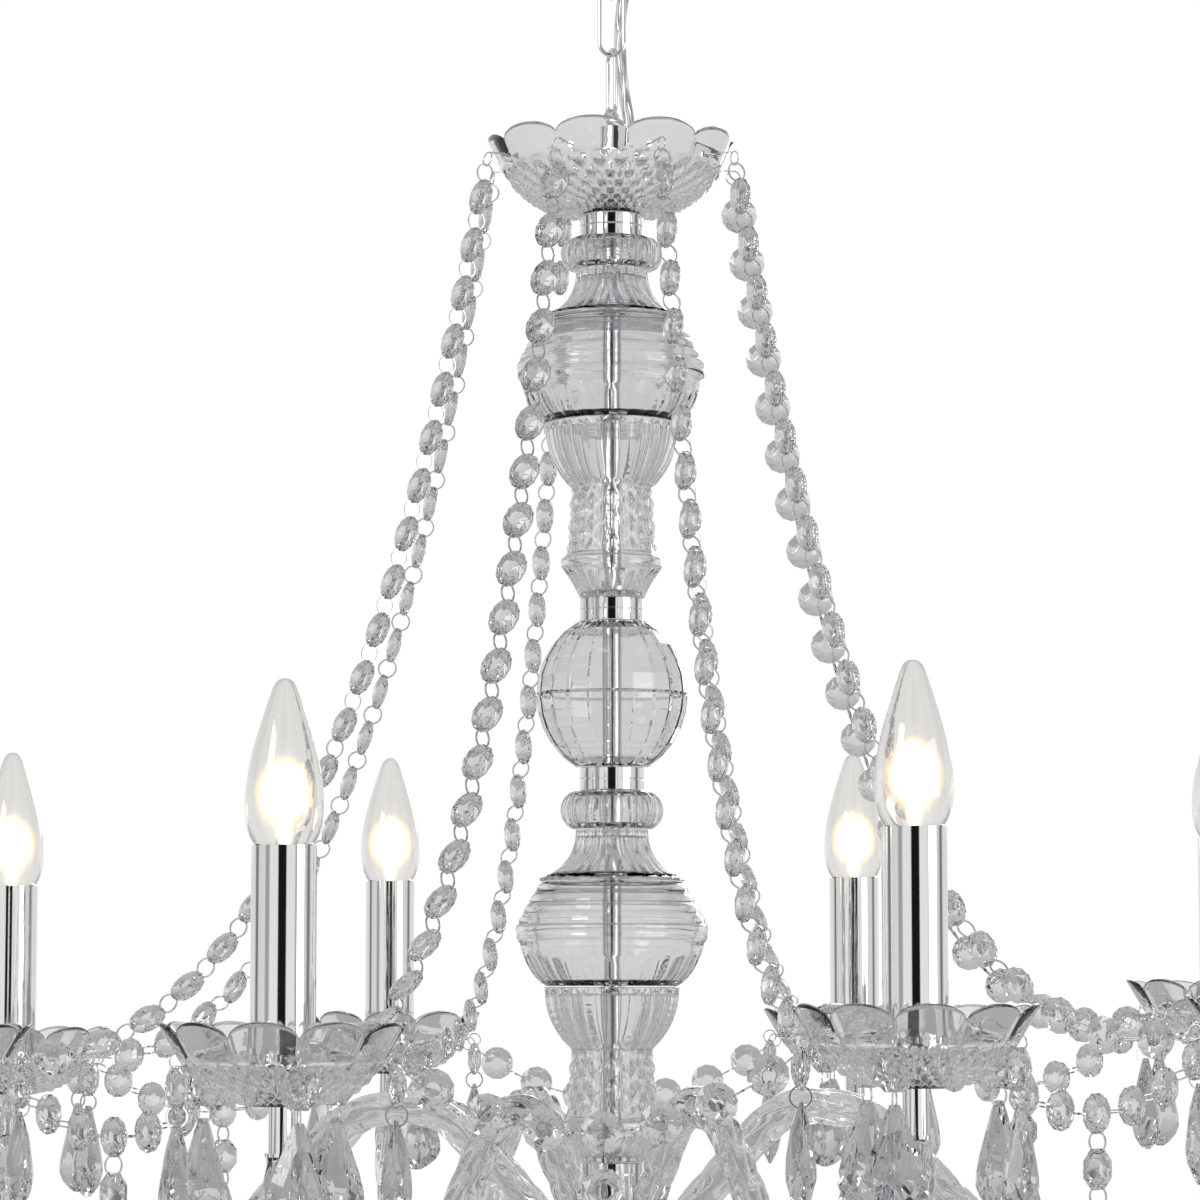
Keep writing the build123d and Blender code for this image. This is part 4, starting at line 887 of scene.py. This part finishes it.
X_WAY = np.array([[1.0, 0.0, 0.0]])
core_a, core_a_faces = tube_along(core_line(0.0), 1.05, 10, X_WAY)
core_b, core_b_faces = tube_along(core_line(np.pi), 1.05, 10, X_WAY)
core_faces = np.vstack([core_a_faces, core_b_faces + len(core_a)])
cores = new_object("flex_cores", np.vstack([core_a, core_b]), core_faces.tolist())
dress(cores, WIRE_STEEL, None, slot="flex_cover")
cover, cover_faces = tube_along(flex_line / MM, FLEX_DIAMETER / 2 / MM, 24, X_WAY)
flex = new_object("flex_cover", cover, cover_faces.tolist())
dress(flex, CLEAR_COVER, None, "supply_flex", slot="flex_cover")
for piece in (flex, cores):
    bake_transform(piece)

# %% [markdown]
# ## Strings, swags and pendants
# Cut discs hang in strings from the top dish to each pan, and in swags from pan to pan. Such a line of
# linked pieces takes the curve of a hanging chain. Two hundred discs are best made once, with a few dozen
# flat facets, and copied to their places along each curve.

# %% Cut stones
DISC_R = 9.6


def polygon(radius, sides, level, turn):
    angle = TAU / sides * (np.arange(sides) + turn)
    return np.stack([radius * np.cos(angle), radius * np.sin(angle), np.full(sides, level)], axis=1)


def cut_stone(levels):
    """A closed stone from outlines of equally many points, with three-sided facets between them."""
    levels = [np.asarray(level, float) for level in levels]
    n = len(levels[0])
    points = np.vstack(levels + [level.mean(axis=0, keepdims=True) for level in (levels[0], levels[-1])])
    faces = []
    for row in range(len(levels) - 1):
        a = row * n + np.arange(n)
        b = row * n + (np.arange(n) + 1) % n
        if row % 2:
            faces += [np.stack([a, b, b + n], 1), np.stack([a, b + n, a + n], 1)]
        else:
            faces += [np.stack([a, b, a + n], 1), np.stack([b, b + n, a + n], 1)]
    low, high = len(levels) * n, len(levels) * n + 1
    a, b = np.arange(n), (np.arange(n) + 1) % n
    faces += [np.stack([b, a, np.full(n, low)], 1)]
    last = (len(levels) - 1) * n
    faces += [np.stack([last + a, last + b, np.full(n, high)], 1)]
    return points * MM, outward(points, np.vstack(faces))


def round_stone(sides, half):
    """A stone from the (radius, height, turn) of each polygon on one side of its narrow edge."""
    low = [polygon(radius, sides, -level, turn) for radius, level, turn in half]
    return cut_stone(low + [polygon(radius, sides, level, turn) for radius, level, turn in half[::-1]])


# Two rows of facets go from the edge up to a small flat table on each face.
DISC_HALF = ((3.6, 2.9, 0.5), (6.6, 1.9, 0.0), (DISC_R, 0.6, 0.5))
BEAD_HALF = ((3.9, 3.9, 0.5), (7.2, 2.6, 0.0), (10.2, 0.7, 0.5))
DROP_HALF = ((0.22, 6.5), (0.62, 4.4), (1.0, 0.7))
DROP_LENGTH, DROP_HALF_WIDTH = 49.0, 14.5
DROP_HOLE = 2.6
DROP_SIDE = (
    (0, 0.14), (0.1, 0.3), (0.3, 0.56), (0.5, 0.82), (0.66, 0.97),
    (0.78, 1.0), (0.88, 0.8), (0.96, 0.42), (1, 0.12),
)


def almond(size, level, middle=0.62):
    """The drop's outline drawn towards its heart by a size between 0 and 1."""
    side = np.array(DROP_SIDE) * (DROP_LENGTH, DROP_HALF_WIDTH)
    both = np.vstack([side, side[::-1] * (1, -1)])
    heart = DROP_LENGTH * middle
    x = heart + (both[:, 0] - heart) * size - DROP_HOLE
    return np.stack([x, both[:, 1] * size, np.full(len(both), level)], axis=1)


def cut_drop():
    low = [almond(size, -level) for size, level in DROP_HALF]
    return cut_stone(low + [almond(size, level) for size, level in DROP_HALF[::-1]])


# %% Hanging lines
DISC_HOLE = 8.2
BEAD_HOLE = 7.7
RING_R = 4.8
PIN_RING = 3.6
PIN_REACH = 2 * PIN_RING - (0.45 + 0.35 + 0.12)  # less the radii of both wires and their play
STRING_TOP_R = 69.0
STRING_TOP_RISE = 29.0  # above the top dish's foot
PAN_PIN_RISE = 20.0
PAN_RIM_R, PAN_HEIGHT, _, _, (PAN_SHOULDER_R, PAN_SHOULDER) = PAN
PAN_FLARE = (PAN_PIN_RISE - PAN_SHOULDER) * (PAN_RIM_R - PAN_SHOULDER_R) / (PAN_HEIGHT - PAN_SHOULDER)
PAN_PIN_OUT = PAN_SHOULDER_R + PAN_FLARE + 1.6  # the pins stand on the flare
PAN_PIN_TURNS = (0.0, 72.0, 144.0, 216.0, 288.0)
TIE_OFFSET = 16.0  # degrees from the pin that faces the column to the string's pin
SWAG_OFFSET = 21.0  # degrees from a pendant's pin to the swag's pin beside it
STRING_FACING = np.radians([92.0, 31.0, 30.0, 20.0, 38.0, 53.0, 31.0, 30.0])
STRING_DISCS = 21
SWAG_DISCS = 7


def unit(vector):
    return vector / np.linalg.norm(vector)


def flat_way(angle):
    return np.array([np.cos(angle), np.sin(angle), 0.0])


def pan_pin(k, turn_degrees):
    """The end of a pan's pin, counted round the pan from the side that faces the column."""
    centre = lamp_origin(k) / MM + [0, 0, PAN_PIN_RISE]
    return centre + PAN_PIN_OUT * flat_way(ARM_TURN[k] + np.pi + np.radians(turn_degrees))


def line_length(discs):
    return 2 * (PIN_REACH + 2 * RING_R) + 2 * DISC_HOLE * discs + 2 * RING_R * (discs - 1)


def hanging_line(start, end, length):
    """A function that gives the point at each distance along a chain of that length: a catenary."""
    flat = (end - start) * [1, 1, 0]
    span, drop = np.linalg.norm(flat), (end - start)[2]
    slack = np.sqrt(length**2 - drop**2) / span
    low, high = 1e-6, 20.0
    for _ in range(60):
        middle = (low + high) / 2
        low, high = (middle, high) if np.sinh(middle) / middle < slack else (low, middle)
    scale = span / (2 * low)
    lowest = (span - scale * np.log((length + drop) / (length - drop))) / 2

    def at(distance):
        x = lowest + scale * np.arcsinh(distance / scale - np.sinh(lowest / scale))
        rise = scale * (np.cosh((x - lowest) / scale) - np.cosh(lowest / scale))
        return start + unit(flat) * x + np.array([0, 0, rise])

    return at


def disc_places(start, end, discs, facing):
    at = hanging_line(start, end, line_length(discs))
    found = []
    for number in range(discs):
        s = PIN_REACH + 2 * RING_R + DISC_HOLE + (2 * DISC_HOLE + 2 * RING_R) * number
        ahead = unit(at(s + DISC_HOLE) - at(s - DISC_HOLE))
        normal = unit(facing - ahead * (facing @ ahead))
        found.append(place_of(ahead, normal, at(s) * MM))
    return found


def pendant_places(top_hole, facing):
    down = np.array([0.0, 0.0, -1.0])
    bead_centre = top_hole + down * BEAD_HOLE
    drop_hole = bead_centre + down * (BEAD_HOLE + 2 * RING_R)
    return place_of(down, facing, bead_centre * MM), place_of(down, facing, drop_hole * MM)


# %% Places of the stones
string_places, swag_places, bead_places, drop_places = [], [], [], []
for k in range(ARMS):
    start = STRING_TOP_R * flat_way(ARM_TURN[k]) + [0, 0, TOP_DISH_FOOT + STRING_TOP_RISE]
    string_places += disc_places(start, pan_pin(k, TIE_OFFSET), STRING_DISCS, flat_way(STRING_FACING[k]))
    after = (k + 1) % ARMS
    swag_start = pan_pin(k, PAN_PIN_TURNS[-1] + SWAG_OFFSET)
    swag_end = pan_pin(after, PAN_PIN_TURNS[1] - SWAG_OFFSET)
    along = unit((swag_end - swag_start) * [1, 1, 0])
    facing = np.cross(along, [0, 0, 1.0])
    swag = disc_places(swag_start, swag_end, SWAG_DISCS, facing)
    swag_places += swag
    middle = swag[SWAG_DISCS // 2]
    low = middle[:, 1] if middle[2, 1] < 0 else -middle[:, 1]
    hole = middle[:, 3] / MM + low * DISC_HOLE - [0, 0, 2 * RING_R]
    pendants = [(hole, facing)]
    for turn in PAN_PIN_TURNS:
        out = flat_way(ARM_TURN[k] + np.pi + np.radians(turn))
        pendants.append((pan_pin(k, turn) + out * PIN_RING - [0, 0, PIN_RING], out))
    for hole, way in pendants:
        bead_place, drop_place = pendant_places(hole, way)
        bead_places.append(bead_place)
        drop_places.append(drop_place)
print("discs", len(string_places), len(swag_places), "pendants", len(drop_places))

# %% Stones
for name, node, stone, places, finish in (
    ("string_of_discs", "string_discs", round_stone(12, DISC_HALF), string_places, CUT_GLASS),
    ("swags_of_discs", "swag_discs", round_stone(12, DISC_HALF), swag_places, CUT_GLASS),
    ("octagon_beads", "pendant_beads", round_stone(8, BEAD_HALF), bead_places, CUT_GLASS),
    ("almond_drops", "pendant_drops", cut_drop(), drop_places, DROP_GLASS),
):
    points, faces = copies(stone[0], stone[1], places)
    piece = new_object(name, points, faces.tolist(), smooth=False)
    dress(piece, finish, "chandelier", node, slot="cut_glass")
    print(name, "faces", len(faces))

# %% [markdown]
# ## The room and its light
# The photograph is lit from all sides on pure white. The camera sees white, but the glass and the chrome
# see a room with dark strips, because a white room would leave them without edges. The strips stand round
# the object by direction, so they are part of the world.

# %% World
world = bpy.data.worlds.new("studio")
bpy.context.scene.world = world
world.use_nodes = True
nodes, links = world.node_tree.nodes, world.node_tree.links
nodes.clear()


def grey_ramp(levels, source):
    """A ramp from the output of another node to greys: each level is a place and a grey."""
    ramp = nodes.new("ShaderNodeValToRGB")
    stops = ramp.color_ramp.elements
    for number, (at, level) in enumerate(levels):
        stop = stops[number] if number < 2 else stops.new(at)
        stop.position = at
        stop.color = (level, level, level, 1.0)
    links.new(source, ramp.inputs["Fac"])
    return ramp


out = nodes.new("ShaderNodeOutputWorld")
seen = nodes.new("ShaderNodeBackground")
set_inputs(seen, {"Color": (1, 1, 1, 1), "Strength": 1.0})
room = nodes.new("ShaderNodeBackground")
set_inputs(room, {"Strength": 1.0})
where = nodes.new("ShaderNodeTexCoord")
split = nodes.new("ShaderNodeSeparateXYZ")
links.new(where.outputs["Generated"], split.inputs["Vector"])
angle_round = nodes.new("ShaderNodeMath")
angle_round.operation = "ARCTAN2"
links.new(split.outputs["X"], angle_round.inputs[0])
links.new(split.outputs["Y"], angle_round.inputs[1])
as_share = nodes.new("ShaderNodeMapRange")
set_inputs(as_share, {"From Min": -np.pi, "From Max": np.pi})
links.new(angle_round.outputs["Value"], as_share.inputs["Value"])
STRIPS = (
    (0.0, 0.01), (0.036, 0.01), (0.044, 0.9), (0.12, 0.9), (0.135, 0.4), (0.165, 0.4), (0.18, 0.8),
    (0.255, 0.75), (0.27, 0.22), (0.295, 0.22), (0.315, 0.8), (0.42, 0.9), (0.58, 0.9), (0.685, 0.8),
    (0.705, 0.22), (0.73, 0.22), (0.745, 0.75), (0.82, 0.8), (0.835, 0.4), (0.865, 0.4), (0.88, 0.9),
    (0.956, 0.9), (0.964, 0.01), (1.0, 0.01),
)
around_ramp = grey_ramp(STRIPS, as_share.outputs["Result"])
height_share = nodes.new("ShaderNodeMapRange")
set_inputs(height_share, {"From Min": -1.0, "From Max": 1.0})
links.new(split.outputs["Z"], height_share.inputs["Value"])
UP_LEVELS = ((0.0, 0.4), (0.22, 0.5), (0.38, 0.86), (0.48, 0.98), (0.6, 0.82), (0.8, 0.6), (1.0, 0.8))
up_ramp = grey_ramp(UP_LEVELS, height_share.outputs["Result"])
GLASS_STRIPS = (
    (0.0, 0.3), (0.04, 0.3), (0.06, 0.8), (0.2, 0.75), (0.22, 0.35), (0.27, 0.3), (0.29, 0.75), (0.4, 0.95),
    (0.6, 0.95), (0.71, 0.75), (0.73, 0.3), (0.78, 0.35), (0.8, 0.75), (0.94, 0.8), (0.96, 0.3), (1.0, 0.3),
)
glass_ramp = grey_ramp(GLASS_STRIPS, as_share.outputs["Result"])
ray = nodes.new("ShaderNodeLightPath")
by_ray = nodes.new("ShaderNodeMixRGB")
links.new(ray.outputs["Is Glossy Ray"], by_ray.inputs["Fac"])
links.new(glass_ramp.outputs["Color"], by_ray.inputs["Color1"])
links.new(around_ramp.outputs["Color"], by_ray.inputs["Color2"])
both = nodes.new("ShaderNodeMixRGB")
both.blend_type = "MULTIPLY"
both.inputs["Fac"].default_value = 1.0
links.new(by_ray.outputs["Color"], both.inputs["Color1"])
links.new(up_ramp.outputs["Color"], both.inputs["Color2"])
links.new(both.outputs["Color"], room.inputs["Color"])
choose = nodes.new("ShaderNodeMixShader")
links.new(ray.outputs["Is Camera Ray"], choose.inputs["Fac"])
links.new(room.outputs["Background"], choose.inputs[1])
links.new(seen.outputs["Background"], choose.inputs[2])
links.new(choose.outputs["Shader"], out.inputs["Surface"])
print("room strips", len(STRIPS))


# %% Lamps of the studio
def soft_lamp(name, place, target, size, power):
    data = bpy.data.lights.new(name, "AREA")
    data.shape = "SQUARE"
    data.size = size
    data.energy = power
    lamp = bpy.data.objects.new(name, data)
    lamp.location = place
    lamp.rotation_euler = (Vector(target) - Vector(place)).to_track_quat("-Z", "Y").to_euler()
    bpy.context.scene.collection.objects.link(lamp)
    return lamp


soft_lamp("key", (-1.6, -1.8, 0.4), (0, 0, -0.5), 0.9, 14.0)
soft_lamp("fill", (1.9, -1.2, -0.2), (0, 0, -0.5), 1.1, 9.0)
behind = soft_lamp("back", (0.6, 2.2, 0.3), (0, 0, -0.5), 1.2, 12.0)
behind.visible_transmission = False  # or its square shows through the bulbs

# %% [markdown]
# ## The floor
# A pale floor lies well below the chandelier, as in a room with a high ceiling.

# %% Floor
FLOOR, FLOOR_HALF = -2.2, 14.0
corners = ((-1, -1), (1, -1), (1, 1), (-1, 1))
floor_points = np.array([[x * FLOOR_HALF, y * FLOOR_HALF, FLOOR] for x, y in corners])
floor = new_object("floor", floor_points, [[0, 1, 2, 3]], smooth=False)
pale, pale_shader = new_material("pale_floor")
set_inputs(pale_shader, {"Base Color": (0.92, 0.92, 0.92, 1.0), "Roughness": 0.8})
set_inputs(pale_shader, {"Emission Color": (1.0, 1.0, 1.0, 1.0)})
pale_ray = pale.node_tree.nodes.new("ShaderNodeLightPath")
pale_lift = pale.node_tree.nodes.new("ShaderNodeMath")
pale_lift.operation = "MULTIPLY"
pale_lift.inputs[1].default_value = 0.45  # the camera sees the floor as white as the room
pale.node_tree.links.new(pale_ray.outputs["Is Camera Ray"], pale_lift.inputs[0])
pale.node_tree.links.new(pale_lift.outputs["Value"], pale_shader.inputs["Emission Strength"])
floor.data.materials.append(pale)

# %% Light bounces
bpy.context.scene.view_settings.view_transform = "Standard"
cycles = bpy.context.scene.cycles
cycles.max_bounces = 20
cycles.transmission_bounces = 20
cycles.glossy_bounces = 8
cycles.transparent_max_bounces = 24
